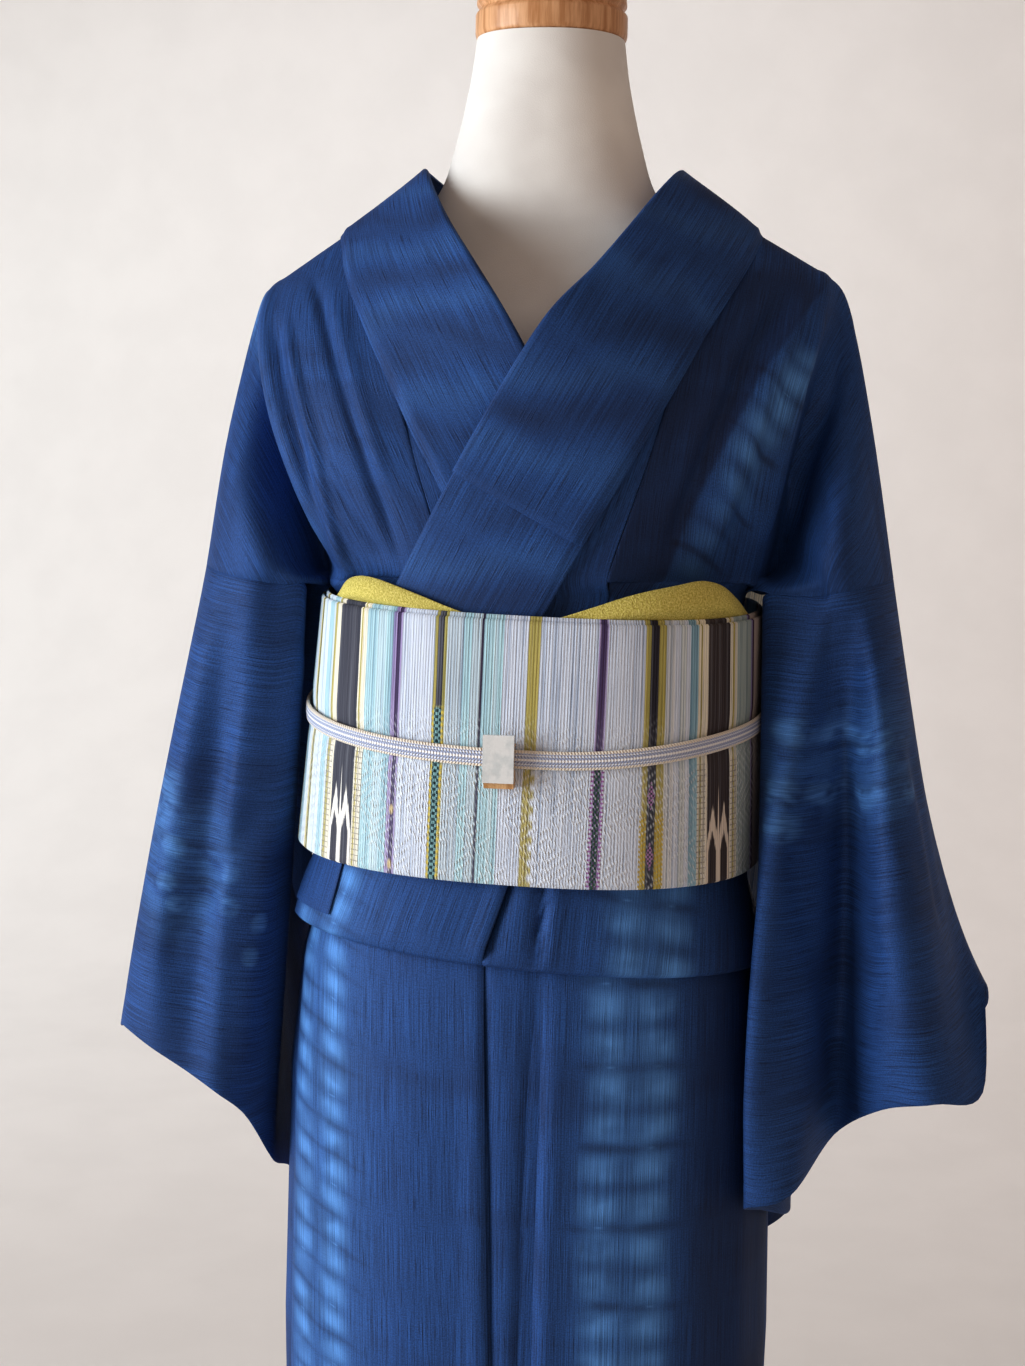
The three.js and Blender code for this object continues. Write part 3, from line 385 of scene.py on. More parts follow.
def srgb(code):
    """A linear colour from a six-figure hexadecimal one."""
    parts = [int(code[i:i + 2], 16) / 255 for i in (0, 2, 4)]
    return tuple(p / 12.92 if p < 0.04045 else ((p + 0.055) / 1.055) ** 2.4 for p in parts) + (1,)


class Paint:
    """A material under construction: flat cloth coordinates, noises, colour mixes and bumps."""

    def __init__(self, name, roughness, specular=0.5, metallic=0.0, coat=0.0):
        self.material = bpy.data.materials.new(name)
        self.material.use_nodes = True
        self.tree = self.material.node_tree
        self.shader = self.tree.nodes["Principled BSDF"]
        self.shader.inputs["Roughness"].default_value = roughness
        self.shader.inputs["Specular IOR Level"].default_value = specular
        self.shader.inputs["Metallic"].default_value = metallic
        self.shader.inputs["Coat Weight"].default_value = coat
        self.colour = None

    def node(self, kind):
        return self.tree.nodes.new("ShaderNode" + kind)

    def flat(self):
        """The place in the flat cloth, across and along, in millimetres."""
        uv = self.node("UVMap")
        uv.uv_map = "cloth"
        split = self.node("SeparateXYZ")
        self.tree.links.new(uv.outputs["UV"], split.inputs[0])
        return Signal(self.tree, split.outputs["X"]) * 1000, Signal(self.tree, split.outputs["Y"]) * 1000

    def place(self):
        """The place in the object's own frame, in millimetres."""
        coordinates = self.node("TexCoord")
        split = self.node("SeparateXYZ")
        self.tree.links.new(coordinates.outputs["Object"], split.inputs[0])
        return [Signal(self.tree, split.outputs[k]) * 1000 for k in "XYZ"]

    def noise(self, x, y, z=0.0, detail=2.0, rough=0.5):
        join = self.node("CombineXYZ")
        for slot, value in zip(join.inputs, (x, y, z)):
            feed(self.tree, slot, value)
        texture = self.node("TexNoise")
        self.tree.links.new(join.outputs[0], texture.inputs["Vector"])
        texture.inputs["Scale"].default_value = 1.0
        texture.inputs["Detail"].default_value = detail
        texture.inputs["Roughness"].default_value = rough
        return Signal(self.tree, texture.outputs["Fac"])

    def mix(self, first, second, share, how="MIX"):
        """Makes the material's colour a mix of two, each a plain colour or a node's output."""
        node = self.node("Mix")
        node.data_type = "RGBA"
        node.blend_type = how
        slots = [slot for slot in node.inputs if slot.type == "RGBA"]
        for slot, value in zip((*slots, node.inputs[0]), (first, second, share)):
            feed(self.tree, slot, value)
        self.colour = next(slot for slot in node.outputs if slot.type == "RGBA")

    def between(self, first, second, share):
        self.mix(srgb(first), srgb(second), share)

    def over(self, code, share, how="MIX"):
        """Lays a colour over what is there already."""
        self.mix(self.colour, srgb(code), share, how)

    def stripes(self, position, stops):
        node = self.node("ValToRGB")
        node.color_ramp.interpolation = "CONSTANT"
        elements = node.color_ramp.elements
        while len(elements) > 1:
            elements.remove(elements[-1])
        elements[0].position, elements[0].color = stops[0]
        for at, colour in stops[1:]:
            elements.new(at).color = colour
        feed(self.tree, node.inputs[0], position)
        return node.outputs["Color"]

    def bump(self, height, distance_mm):
        node = self.node("Bump")
        node.inputs["Strength"].default_value = 1.0
        node.inputs["Distance"].default_value = distance_mm * MM
        feed(self.tree, node.inputs["Height"], height)
        feed(self.tree, self.shader.inputs["Normal"], node.outputs["Normal"])

    def done(self):
        feed(self.tree, self.shader.inputs["Base Color"], self.colour)
        return self.material


# ---------------------------------------------------------------- the two halves, as in the CAD
class Half:
    def __init__(self, side, legs, okumi_lean, okumi_at_fold, fold_lift):
        self.side = side
        self.legs = legs
        self.okumi_lean = okumi_lean
        self.okumi_at_fold = okumi_at_fold
        self.fold_lift = fold_lift

    def mirrored(self, grid):
        return np.asarray(grid, float) * (self.side, 1, 1)


LEFT = Half(1, (1, 2, 5.6), 0.3, OKUMI_SEAM, 4)
RIGHT = Half(-1, (0, 3, 4), 0.33, -34, 5)
LEGS_ALONE = (0, 1.5, 3)
ALONE_FROM = (154, 180)  # round from the front centre: where a half no longer lies on the other one
FOLD_SLOPE = 0.065
FOLD_SLOPES_BELOW_Z = 965
SKIRT_LEANS_BELOW_Z = 900
CENTRE_BACK_GAP = 0.2


def leg_offset(half, leg, distance):
    return LAYER * mix(half.legs[leg], LEGS_ALONE[leg], ease(*ALONE_FROM, np.abs(distance)))


def front_edge_at(half, leg, z):
    if leg == 2:
        return half.okumi_at_fold + (z - FOLD_BOTTOM_Z) * half.okumi_lean
    if leg == 0:
        return OKUMI_SEAM + SKIRT_LEAN * max(0, SKIRT_LEANS_BELOW_Z - z)
    lean = np.clip((WAIST_TURN_Z - z) / (WAIST_TURN_Z - FOLD_BOTTOM_Z), 0, 1)
    return mix(OKUMI_SEAM, half.okumi_at_fold, lean)


def fold_share(z):
    return np.clip((FOLD_SLOPES_BELOW_Z - z) / (FOLD_SLOPES_BELOW_Z - FOLD_BOTTOM_Z), 0, 1)


def sloped(row, z):
    """The row of the waist fold, lowered towards the wearer's left."""
    row[:, 2] -= FOLD_SLOPE * fold_share(z) * row[:, 0]
    return row


def leg_row(half, leg, distances, z):
    row = half.mirrored(trunk_point(distances, z, leg_offset(half, leg, distances)))
    return sloped(row, z) if leg > 0 else row


def turn_row(half, legs, distances, z, upwards, share):
    """Part of the round between two legs: over the waist tie, or under the waist fold."""
    start, end = (leg_offset(half, leg, distances) for leg in legs)
    angle = math.pi * share
    row = half.mirrored(trunk_point(distances, z, mix(start, end, (1 - math.cos(angle)) / 2)))
    row[:, 2] += (1 if upwards else -1) * np.abs(end - start) / 2 * math.sin(angle)
    return row if upwards else sloped(row, z)


TURN_SHARES = np.linspace(0.12, 0.88, 6)
TURN_ENDS_Z = 903  # just over the round under the waist fold
ROW_STEP = 12
OUTER_ROW_STEP = 7  # on the leg that shows over the waist fold


def between(lo, hi, step):
    return np.linspace(lo, hi, max(2, int(round(abs(hi - lo) / step)) + 1))


def trunk_rows(half, columns_at, top):
    """Rows from the hem to a height on the rising leg, through the waist fold."""
    def leg_rows(leg, start, end, step):
        return [leg_row(half, leg, columns_at(leg, z), z) for z in between(start, end, step)]

    def turn_rows(legs, z, upwards):
        return [turn_row(half, legs, columns_at(legs[int(s > 0.5)], z), z, upwards, s) for s in TURN_SHARES]

    return np.array([
        *leg_rows(0, HEM_Z, WAIST_TURN_Z, ROW_STEP),
        *turn_rows((0, 1), WAIST_TURN_Z, True),
        *leg_rows(1, WAIST_TURN_Z, TURN_ENDS_Z, ROW_STEP),
        *turn_rows((1, 2), FOLD_BOTTOM_Z + half.fold_lift, False),
        *leg_rows(2, TURN_ENDS_Z, top, OUTER_ROW_STEP),
    ])


# Lines down the bodice from the shoulder to the underarm, each entry x outwards, y and z.
FRONT_LEFT = {
    "seam": [(134, -2, 1334), (131, -27, 1321), (122, -51, 1301), (107, -75, 1273), (90, -97, 1243),
             (73, -108, 1186), (55, -113, 1130)],
    "ridge": [(177, -4, 1309), (176, -27, 1295), (168, -48, 1262), (159, -61, 1228), (151, -62, 1192),
              (145, -52, 1155), (139, -38, 1125)],
    "hollow": [(190, -2, 1290), (184, -16, 1268), (173, -22, 1238), (164, -20, 1204), (157, -14, 1172),
               (152, -6, 1142), (144, -10, 1122)],
    "lobe": [(207, -3, 1215), (202, -29, 1196), (194, -50, 1178), (186, -62, 1158), (178, -62, 1140),
             (172, -54, 1126), (144, -38, 1119)],
    "armhole": [(223, 0, 1124), (217, -27, 1123), (206, -49, 1121), (195, -61, 1119), (185, -62, 1117),
                (177, -56, 1115), (145, -45, 1115)],
}
FRONT_RIGHT = {
    "seam": [(129, -2, 1333), (124, -27, 1318), (115, -52, 1298), (98, -77, 1268), (78, -97, 1235),
             (62, -106, 1186), (43, -109.5, 1130)],
    "ridge": [(175, -4, 1301), (178, -25, 1287), (175, -45, 1260), (164, -64, 1222), (149, -76, 1186),
              (132, -79, 1152), (115, -70, 1124)],
    "hollow": [(186, -2, 1286), (180, -12, 1264), (173, -18, 1238), (162, -22, 1204), (150, -24, 1172),
               (140, -22, 1142), (134, -18, 1121)],
    "lobe": [(203, -3, 1214), (199, -28, 1196), (189, -48, 1178), (177, -60, 1158), (165, -64, 1140),
             (155, -60, 1126), (141, -48, 1118)],
    "armhole": [(219, 0, 1123), (212, -27, 1122), (200, -48, 1120), (186, -60, 1118), (172, -65, 1116),
                (160, -61, 1114), (143, -51, 1114)],
}
BACK = {
    "seam": [(119, 52, 1326), (85, 98, 1312), (38, 123, 1300), (0, 128, 1295), (0, 123, 1225),
             (0, 112, 1155)],
    "ridge": [(177, 26, 1288), (172, 50, 1256), (163, 68, 1218), (154, 77, 1182), (145, 76, 1148),
              (134, 70, 1122)],
    "hollow": [(184, 18, 1264), (177, 30, 1236), (168, 32, 1202), (160, 30, 1170), (153, 24, 1142),
               (146, 16, 1120)],
    "lobe": [(201, 26, 1196), (194, 45, 1176), (184, 54, 1156), (174, 54, 1138), (165, 46, 1124),
             (156, 34, 1117)],
    "armhole": [(214, 25, 1122), (205, 45, 1120), (193, 55, 1118), (181, 56, 1116), (170, 49, 1114),
                (160, 37, 1114)],
}
FRONT_SWELL = (0, 3, 6, 8, 9, 8, 6)
BACK_SWELL = (3, 8, 12, 15, 15, 15)
PANEL_STEPS = (0.2, 0.4, 0.6, 0.8)
FRONT_COLUMNS = (OKUMI_SEAM, 20, 55, 85, 110, 135, 160, 182, SIDE_SEAM)
FIXED_FROM = 4
BACK_COLUMNS = (0, 0.16, 0.32, 0.46, 0.58, 0.7, 0.8, 0.9, 1)
CONTROLS = np.arange(9)


def bodice_control(half, lines, swells):
    rows = []
    for i, swell in enumerate(swells):
        seam, ridge = (np.array(lines[k][i], float) for k in ("seam", "ridge"))
        seam[0] = max(seam[0], CENTRE_BACK_GAP)
        panel = []
        for t in PANEL_STEPS:
            p = mix(seam, ridge, t)
            p[1] += np.sign(p[1]) * swell * math.sin(math.pi * t)
            panel.append(p)
        outer = [np.array(lines[k][i], float) for k in ("hollow", "lobe", "armhole")]
        rows.append([seam, *panel, ridge, *outer])
    return half.mirrored(rows)


def columns_from(edge, at):
    """Distances of the front columns when the front edge is moved, read at fractional numbers."""
    anchor = FRONT_COLUMNS[FIXED_FROM]
    share = (anchor - edge) / (anchor - FRONT_COLUMNS[0])
    moved = [anchor + (d - anchor) * share if i < FIXED_FROM else d for i, d in enumerate(FRONT_COLUMNS)]
    return np.interp(at, CONTROLS, moved)


def underarm_row(last_row, ring_row):
    middle = mix(last_row, ring_row, 0.55)
    middle[:, 2] = np.minimum(last_row[:, 2], mix(last_row[:, 2], ring_row[:, 2], 0.35))
    return middle


BODY_COLUMNS = np.linspace(0, 8, 65)
RIDGE_COLUMN = 40  # where the fifth control column lies among them
BODICE_FROM_Z = 1085
BODICE_STEPS = 9  # rows between two of the bodice's control rows


def body_grid(half, front_lines):
    """One half of the body, from the front hem over the shoulder to the back hem."""
    def front_at(at):
        return lambda leg, z: columns_from(front_edge_at(half, leg, z), at)

    def back_at(at):
        return lambda leg, z: mix(
            half_round(z) - CENTRE_BACK_GAP, SIDE_SEAM + 2 * SEAM_GAP, np.interp(at, CONTROLS, BACK_COLUMNS)
        )

    def ring(columns, z):
        return leg_row(half, 2, columns(CONTROLS)(2, z), z)

    front = bodice_control(half, front_lines, FRONT_SWELL)[::-1]
    back = bodice_control(half, BACK, BACK_SWELL)
    tops = (1070, BODICE_FROM_Z, 1109)
    front_rings = [ring(front_at, z) for z in tops]
    back_rings = [ring(back_at, z) for z in tops]
    control = np.array(
        front_rings + [underarm_row(front[0], front_rings[-1]), *front, *back]
        + [underarm_row(back[-1], back_rings[-1])] + back_rings[::-1]
    )
    spans = len(control) - 3  # the first and last control rows only steer the surface
    bodice = both_ways(control, np.linspace(1, 1 + spans, BODICE_STEPS * spans + 1), BODY_COLUMNS)
    lower_front = trunk_rows(half, front_at(BODY_COLUMNS), BODICE_FROM_Z)[:-1]
    lower_back = trunk_rows(half, back_at(BODY_COLUMNS), BODICE_FROM_Z)[:-1]
    return np.concatenate([lower_front, bodice, lower_back[::-1]])


OKUMI_TOP_LEFT = columns_of("z edge", [(FOLD_BOTTOM_Z, OKUMI_EDGE), (940, -135), (1030, -24), (1109, 15)])
OKUMI_TOP_RIGHT = columns_of("z edge", [(FOLD_BOTTOM_Z, OKUMI_EDGE), (940, -135), (1030, -50), (1109, 7)])
OKUMI_TIP_LEFT = [
    ((55, -113, 1130), (29, -117, 1132)),
    ((73, -108, 1186), (60, -112, 1187)),
    ((88, -99, 1236), (85, -100.5, 1236)),
]
OKUMI_TIP_RIGHT = [
    ((43, -109.5, 1130), (20, -111, 1132)),
    ((62, -106, 1186), (51, -107, 1187)),
    ((76, -98, 1229), (74.2, -98.8, 1229)),
]


def okumi_grid(half, top, tip):
    shares = np.linspace(0, 1, 31)

    def columns_at(leg, z):
        seam = front_edge_at(half, leg, z) - 2 * SEAM_GAP
        edge = float(np.interp(z, top["z"], top["edge"])) if leg == 2 else OKUMI_EDGE
        return mix(seam, edge, shares)

    lower = trunk_rows(half, columns_at, 1109)
    tips = []
    for body, collar in tip:
        start = np.array(body, float) - (3 * SEAM_GAP, 0, 0)
        tips.append(half.mirrored([mix(start, np.array(collar, float), s) for s in shares]))
    control = np.array([lower[-8], lower[-1], *tips])
    upper = resample(control, np.linspace(1, len(control) - 1, 24))[1:]
    return np.concatenate([lower, upper])


# ---------------------------------------------------------------- creases
CREASE_REACH = 9  # how far a crease's line may lie off the cloth that it marks
BEYOND_REACH = 9  # how many times over the way beyond it counts as distance


def line_distance(grid, line):
    """Each point's distance along the cloth from a line, its side of it and its share of the way."""
    steps = np.linalg.norm(np.diff(line, axis=0), axis=1)
    starts = lengths_along(line)
    normal = normals_of(grid)
    best = np.full(grid.shape[:2], np.inf)
    along, side = np.zeros_like(best), np.zeros_like(best)
    for k, start in enumerate(line[:-1]):
        edge = line[k + 1] - start
        t = np.clip(((grid - start) @ edge) / (edge @ edge), 0, 1)
        gap = grid - (start + t[..., None] * edge)
        off = np.einsum("ijk,ijk->ij", gap, normal)
        beside = np.linalg.norm(gap - off[..., None] * normal, axis=2)
        distance = beside + np.maximum(np.abs(off) - CREASE_REACH, 0) * BEYOND_REACH
        closer = distance < best
        best = np.where(closer, distance, best)
        along = np.where(closer, (starts[k] + t * steps[k]) / starts[-1], along)
        turned = np.einsum("ijk,ijk->ij", np.cross(np.broadcast_to(edge, gap.shape), gap), normal)
        side = np.where(closer, np.sign(turned), side)
    return best, side, along


def creased(grid, outward, lines):
    """The grid with ridges, or grooves where the height is negative, along the given lines.

    Each line is (height, width, lean, points); lean from -1 to 1 makes one side of it steeper.
    """
    amount = np.zeros(grid.shape[:2])
    for height, width, lean, points in lines:
        distance, side, along = line_distance(grid, spread(points, 5 * len(points)))
        fade = ease(0, 0.2, along) * ease(1, 0.8, along)
        amount += height * bell(distance, width * (1 + lean * side)) * fade
    return grid + normals_of(grid) * (outward * amount)[..., None]


SKIRT_ROWS = 84  # rows of the hanging skirt, at the start of each body or okumi grid
RISING_FROM = 108  # and the row from which the leg over the waist fold rises
# Each crease is its height (a groove where negative), width, lean and line. About a third of the points are
# the output of scripts that cast places in the photograph onto the cloth, and so are most of the points of
# body_right and the sleeves.
CREASES = {
    "body_left": [
        (-5.5, 8, -0.2, [(157, -30, 1307), (145, -54, 1285), (132, -73, 1260), (117, -91, 1219),
                         (102, -95, 1179), (86, -95, 1128)]),
        (4.5, 8, 0.3, [(173, -31, 1303), (160, -54, 1276), (148, -70, 1246), (137, -80, 1208),
                       (124, -82, 1168), (110, -78, 1126)]),
        (3.5, 6, 0.4, [(180, -26, 1288), (172, -45, 1269), (166, -55, 1247), (157, -60, 1199),
                       (142, -47, 1136)]),
        (-6.0, 7, 0, [(189, -9, 1283), (180, -23, 1234), (168, -22, 1191), (159, -15, 1141)]),
        (7.5, 6, 0, [(112, -76, 1116), (126, -64, 1114), (138, -46, 1113), (145, -14, 1112), (145, 24, 1112),
                     (136, 50, 1112)]),
        (-5.5, 3.5, 0, [(23, -119, 972), (20, -122, 930), (17, -125, 890)]),
        (3.0, 5, 0, [(30, -119, 972), (27, -122, 930), (24, -125, 890)]),
        (1.4, 5, 0, [(118, -92, 921), (90, -112, 908), (45, -121, 903)]),
        (-3.5, 4, 0, [(12, -119, 990), (9, -119, 975), (1, -121, 946), (-8, -123, 915), (-14, -126, 883)]),
    ],
    "body_left_skirt": [
        (-6.5, 7, -0.35, [(16, -116, 935), (17, -116, 880), (17, -119, 841), (15, -121, 749), (14, -122, 640),
                          (12, -120, 420), (12, -118, 200)]),
        (3.0, 8, 0, [(27, -116, 935), (26, -116, 880), (26, -119, 836), (25, -121, 781), (24, -122, 700),
                     (24, -120, 440), (24, -118, 230)]),
        (1.2, 14, 0, [(70, -108, 700), (72, -106, 500), (70, -104, 260)]),
        (-1.8, 12, 0, [(118, -78, 860), (124, -74, 640), (120, -72, 300)]),
        (-3.5, 4, 0, [(-16, -119, 960), (-15, -119, 900), (-6, -121, 600), (6, -118, 200), (12, -114, -100)]),
    ],
    "body_right": [
        (-3.8, 4.5, 0.2, [(-147, -22, 1310), (-133, -56, 1285), (-118, -82, 1250), (-105, -97, 1219),
                          (-92, -103, 1185), (-78, -102, 1148), (-70, -100, 1120)]),
        (2.2, 6, 0, [(-129, -49, 1296), (-115, -75, 1264), (-103, -93, 1234), (-91, -102, 1204),
                     (-80, -105, 1168)]),
        (3.6, 5, -0.4, [(-158, -40, 1285), (-151, -59, 1264), (-140, -78, 1233), (-129, -89, 1203),
                        (-121, -90, 1167), (-112, -81, 1133), (-106, -72, 1110)]),
        (-4.4, 6, 0, [(-168, -40, 1285), (-161, -53, 1266), (-149, -73, 1230), (-136, -85, 1191),
                      (-127, -85, 1155), (-120, -74, 1120)]),
        (6, 6, 0, [(-106, -76, 1116), (-118, -60, 1115), (-129, -40, 1114), (-135, -8, 1113),
                   (-135, 24, 1113), (-130, 50, 1113)]),
        (-2.4, 5, 0, [(-112, -88, 1180), (-100, -98, 1156), (-84, -102, 1126)]),
    ],
    "okumi_left": [
        (-1.8, 4, 0, [(-70, -117, 908), (-41, -123, 905), (-16, -125, 901)]),
        (1.2, 8, 0, [(-92, -108, 935), (-60, -118, 918), (-30, -123, 910)]),
        (2.2, 5, 0, [(6, -119, 990), (4, -119, 975), (-4, -121, 946), (-13, -123, 915), (-20, -126, 883)]),
    ],
    "okumi_left_skirt": [
        (1.0, 16, 0, [(-60, -118, 850), (-62, -118, 640), (-58, -116, 300)]),
        (-1.2, 12, 0, [(-104, -98, 850), (-108, -96, 620), (-104, -94, 280)]),
        (2.0, 5, 0, [(-22, -119, 960), (-22, -119, 900), (-13, -121, 600), (-1, -118, 200), (5, -114, -100)]),
    ],
    "sleeve_left": [
        (-2, 10, 0.2, [(160, -66, 1000), (168, -69, 955), (177, -60, 916), (188, -48, 869), (198, -30, 820),
                       (201, -24, 786)]),
        (3, 16, 0, [(195, -51, 1052), (212, -65, 993), (228, -81, 936), (243, -77, 874), (253, -80, 826)]),
        (1.5, 9, 0, [(172, -66, 1070), (165, -74, 1010), (159, -78, 944), (152, -84, 860), (148, -88, 753)]),
        (-3, 12, 0, [(236, -50, 1040), (250, -40, 980), (262, -30, 900)]),
    ],
    "sleeve_right": [
        (1.6, 9, 0, [(-150, -47, 1010), (-152, -47, 981), (-161, -59, 957), (-166, -62, 925),
                     (-172, -65, 874), (-177, -66, 821), (-179, -66, 785)]),
        (-2.5, 10, 0, [(-171, -66, 1088), (-183, -66, 1040), (-192, -64, 1005), (-205, -63, 946)]),
        (-2.5, 9, 0, [(-160, -59, 985), (-183, -72, 946), (-212, -66, 908), (-232, -71, 849)]),
        (2, 12, 0, [(-190, -66, 990), (-214, -66, 950), (-230, -60, 905)]),
        (2, 8, 0, [(-146, -50, 1078), (-152, -52, 1040), (-154, -52, 1001), (-159, -58, 976)]),
    ],
}


# ---------------------------------------------------------------- collar
# Stations from the front end up to the shoulder and round to the back neck.
COLLAR_LEFT = [
    ((-24, -118, 1036), (-97, -89, 1077)),
    ((16, -119.5, 1109), (-59, -114, 1150)),
    ((36, -121, 1146), (-39, -120, 1187)),
    ((62, -117.5, 1192), (-13, -122, 1234)),
    ((87, -104, 1239), (14, -118.5, 1278)),
    ((105, -79, 1275), (37, -95, 1306)),
    ((120.5, -54, 1304), (55, -74, 1331)),
    ((128.5, -29, 1322), (69, -50, 1353)),
    ((131.5, -2, 1335), (79, -22, 1369)),
    ((118, 51, 1328), (80, 20, 1375)),
    ((85, 97, 1314), (69, 64, 1368)),
    ((40, 122, 1302.5), (37, 96, 1356)),
    ((0, 128, 1298), (0, 106, 1350)),
]
COLLAR_RIGHT = [
    ((25, -112, 1142), (-44, -114, 1184)),
    ((47, -109, 1183), (-22, -113, 1224)),
    ((62, -105, 1209), (-5, -111, 1256)),
    ((76, -98, 1235), (12, -105, 1284)),
    ((96, -78, 1269), (31, -92, 1311)),
    ((113.5, -53, 1300), (48, -74, 1334)),
    ((122.5, -28, 1320), (62, -50, 1355)),
    ((127.5, -2, 1335), (72, -22, 1371)),
    ((117, 51, 1328), (78, 20, 1375)),
    ((84, 97, 1314), (68, 64, 1368)),
    ((39, 122, 1302.5), (36, 96, 1356)),
]
EDGE_ROLL = 3.2  # the folds' own thickness, inside the stations' visible edge
COLLAR_STEPS = 9
SHOWN_LAYER = 2.1  # between the middles of the folded collar's two layers
COVER_FIRST = 2  # the station where the outer collar begins
COVER_LAST = 4  # steps from the collar's other end, under the wearer's left collar
COLLAR_LIFT = (1.2, 0.4)  # how far its middle stands off the panels, at the wearer's left and right
COLLAR_SWELL = (2.0, 0.0)


def collar_stations():
    """Seam points, fold points and normals at dense stations, and each one's lift and swell."""
    seam = [s for s, _ in COLLAR_LEFT] + [(-x, y, z) for (x, y, z), _ in COLLAR_RIGHT[::-1]]
    fold = [f for _, f in COLLAR_LEFT] + [(-x, y, z) for _, (x, y, z) in COLLAR_RIGHT[::-1]]
    sides = np.repeat([0, 1], (len(COLLAR_LEFT), len(COLLAR_RIGHT)))
    where = np.linspace(0, len(seam) - 1, COLLAR_STEPS * (len(seam) - 1) + 1)
    seam, fold = resample(seam, where), resample(fold, where)
    normal = unit(np.cross(np.gradient(seam + fold, axis=0), fold - seam))
    lift = np.interp(where, range(len(sides)), np.take(COLLAR_LIFT, sides))
    swell = np.interp(where, range(len(sides)), np.take(COLLAR_SWELL, sides))
    return seam, fold, normal, lift, swell


SEAM, FOLD, COLLAR_OUT, LIFT, SWELL = collar_stations()


def collar_points(share, depth, beyond=0.0):
    """A line along the collar: share 0 at its seam and 1 at its fold, depth out from its middle."""
    share = np.broadcast_to(share, LIFT.shape)
    width = FOLD - SEAM
    direction = unit(width)
    across = SEAM + (width - direction * EDGE_ROLL) * share[:, None] + direction * beyond
    swell = SWELL * 4 * np.clip(share, 0, 1) * (1 - share)
    return across + COLLAR_OUT * (depth + LIFT + swell)[:, None]


def seam_depth(distance, half):
    """Depth of the outer layer near the seam: it turns down to the panel it is sewn to."""
    return mix(0.75 - LIFT, half, ease(-3.5, 2.5, distance))


FOLD_FROM = 0.985  # share of the collar's width at which it begins to turn round its fold


def outer_lines(half, seam_distances, step_off, turns):
    """Lines of an outer layer: down at the seam, over the width and round the fold by the given angles."""
    width = np.linalg.norm(FOLD - SEAM, axis=1)
    return [
        *(collar_points(d / width, seam_depth(d - step_off[0], half) + step_off[1]) for d in seam_distances),
        *(collar_points(share, half) for share in np.linspace(0.08, FOLD_FROM, 14)),
        *(collar_points(1.0, half * math.cos(turn), half * math.sin(turn)) for turn in turns),
    ]


def collar_grid():
    """The folded collar: the outer layer from the seam, the fold, and the inner layer."""
    half = SHOWN_LAYER / 2
    lines = outer_lines(half, (-3.5, -2.4, -1.2, 0, 1.2, 2.5), (0, 0), np.linspace(0, math.pi, 9)[1:-1])
    lines += [collar_points(share, -half) for share in np.linspace(FOLD_FROM, 0, 9)]
    return np.stack(lines, axis=1)


def cover_grid():
    """The outer collar lies on the collar and wraps its fold."""
    half = SHOWN_LAYER / 2 + SHOWN_WALL + 0.15
    lines = outer_lines(half, (-2.6, -1.4, 0, 1.3, 2.6), (0.8, 0.3), np.linspace(0, 0.75 * math.pi, 8)[1:])
    first, last = COLLAR_STEPS * COVER_FIRST, len(SEAM) - 1 - COVER_LAST
    return np.stack(lines, axis=1)[first:last + 1]


# ---------------------------------------------------------------- sleeves
# Each line runs top, middle, cuff; a line of two starts on the armhole seam. Most heights of the fronts'
# cuffs are the output of a script that solved them from the photograph.
SLEEVE_FRONT_LEFT = [
    ((259, -4, 935), (289, -38, 807)),
    ((245, -60, 958), (257, -80, 811)),
    ((223, -84, 955), (226, -66, 801)),
    ((202, -36, 950), (199, -20, 768)),
    ((184, -50, 940), (172, -84, 749)),
    ((151, -80, 930), (145, -88, 741)),
    ((147, -52, 922), (155, -54, 728)),
    ((148.5, -27, 1088), (160, -24, 890), (170, -16, 712)),
    ((158, -4, 990), (170, 8, 850), (173, 28, 700)),
    ((173, 24, 925), (172, 45, 800), (165, 76, 672)),
    ((168, 58, 865), (158, 84, 760), (140, 114, 640)),
]
SLEEVE_BACK_LEFT = [
    ((259, 38, 950), (292, 8, 862)),
    ((247, 72, 955), (298, 58, 836)),
    ((227, 84, 950), (277, 98, 806)),
    ((208, 74, 940), (244, 104, 775)),
    ((194, 84, 925), (216, 122, 748)),
    ((186, 88, 905), (198, 132, 722)),
    ((144, 46, 1113), (181, 94, 870), (184, 138, 702)),
    ((162, 62, 985), (178, 100, 835), (170, 140, 682)),
    ((164, 66, 925), (170, 100, 795), (156, 132, 660)),
    ((170.4, 59.6, 865), (160.4, 85.6, 760), (142.4, 115.6, 640)),
]
SLEEVE_FRONT_RIGHT = [
    ((250, -6, 930), (274, -14, 812)),
    ((243, -48, 945), (262, -50, 822)),
    ((226, -68, 945), (238, -70, 815)),
    ((203, -62, 940), (213, -72, 801)),
    ((185, -72, 930), (192, -76, 789)),
    ((164, -60, 920), (177, -62, 771)),
    ((154.5, -37, 905), (166, -42, 739)),
    ((151, -28, 1084), (165, -14, 880), (170, -6, 720)),
    ((170, -6, 985), (173, 18, 845), (171, 38, 702)),
    ((173, 26, 925), (172, 50, 800), (163, 80, 672)),
    ((168, 58, 865), (158, 84, 760), (138, 114, 640)),
]
SLEEVE_BACK_RIGHT = [
    ((252, 34, 945), (282, 24, 820)),
    ((241, 66, 950), (277, 66, 824)),
    ((224, 82, 945), (256, 96, 800)),
    ((207, 74, 935), (232, 104, 772)),
    ((194, 84, 920), (210, 122, 746)),
    ((186, 88, 900), (196, 132, 720)),
    ((147, 48, 1099), (181, 94, 868), (182, 138, 700)),
    ((162, 62, 985), (178, 100, 832), (168, 140, 680)),
    ((164, 66, 925), (170, 100, 793), (154, 132, 660)),
    ((170.4, 59.6, 865), (160.4, 85.6, 760), (140.4, 115.6, 640)),
]
SEAM_DROP = 0.5
SLEEVE_ROWS = 84
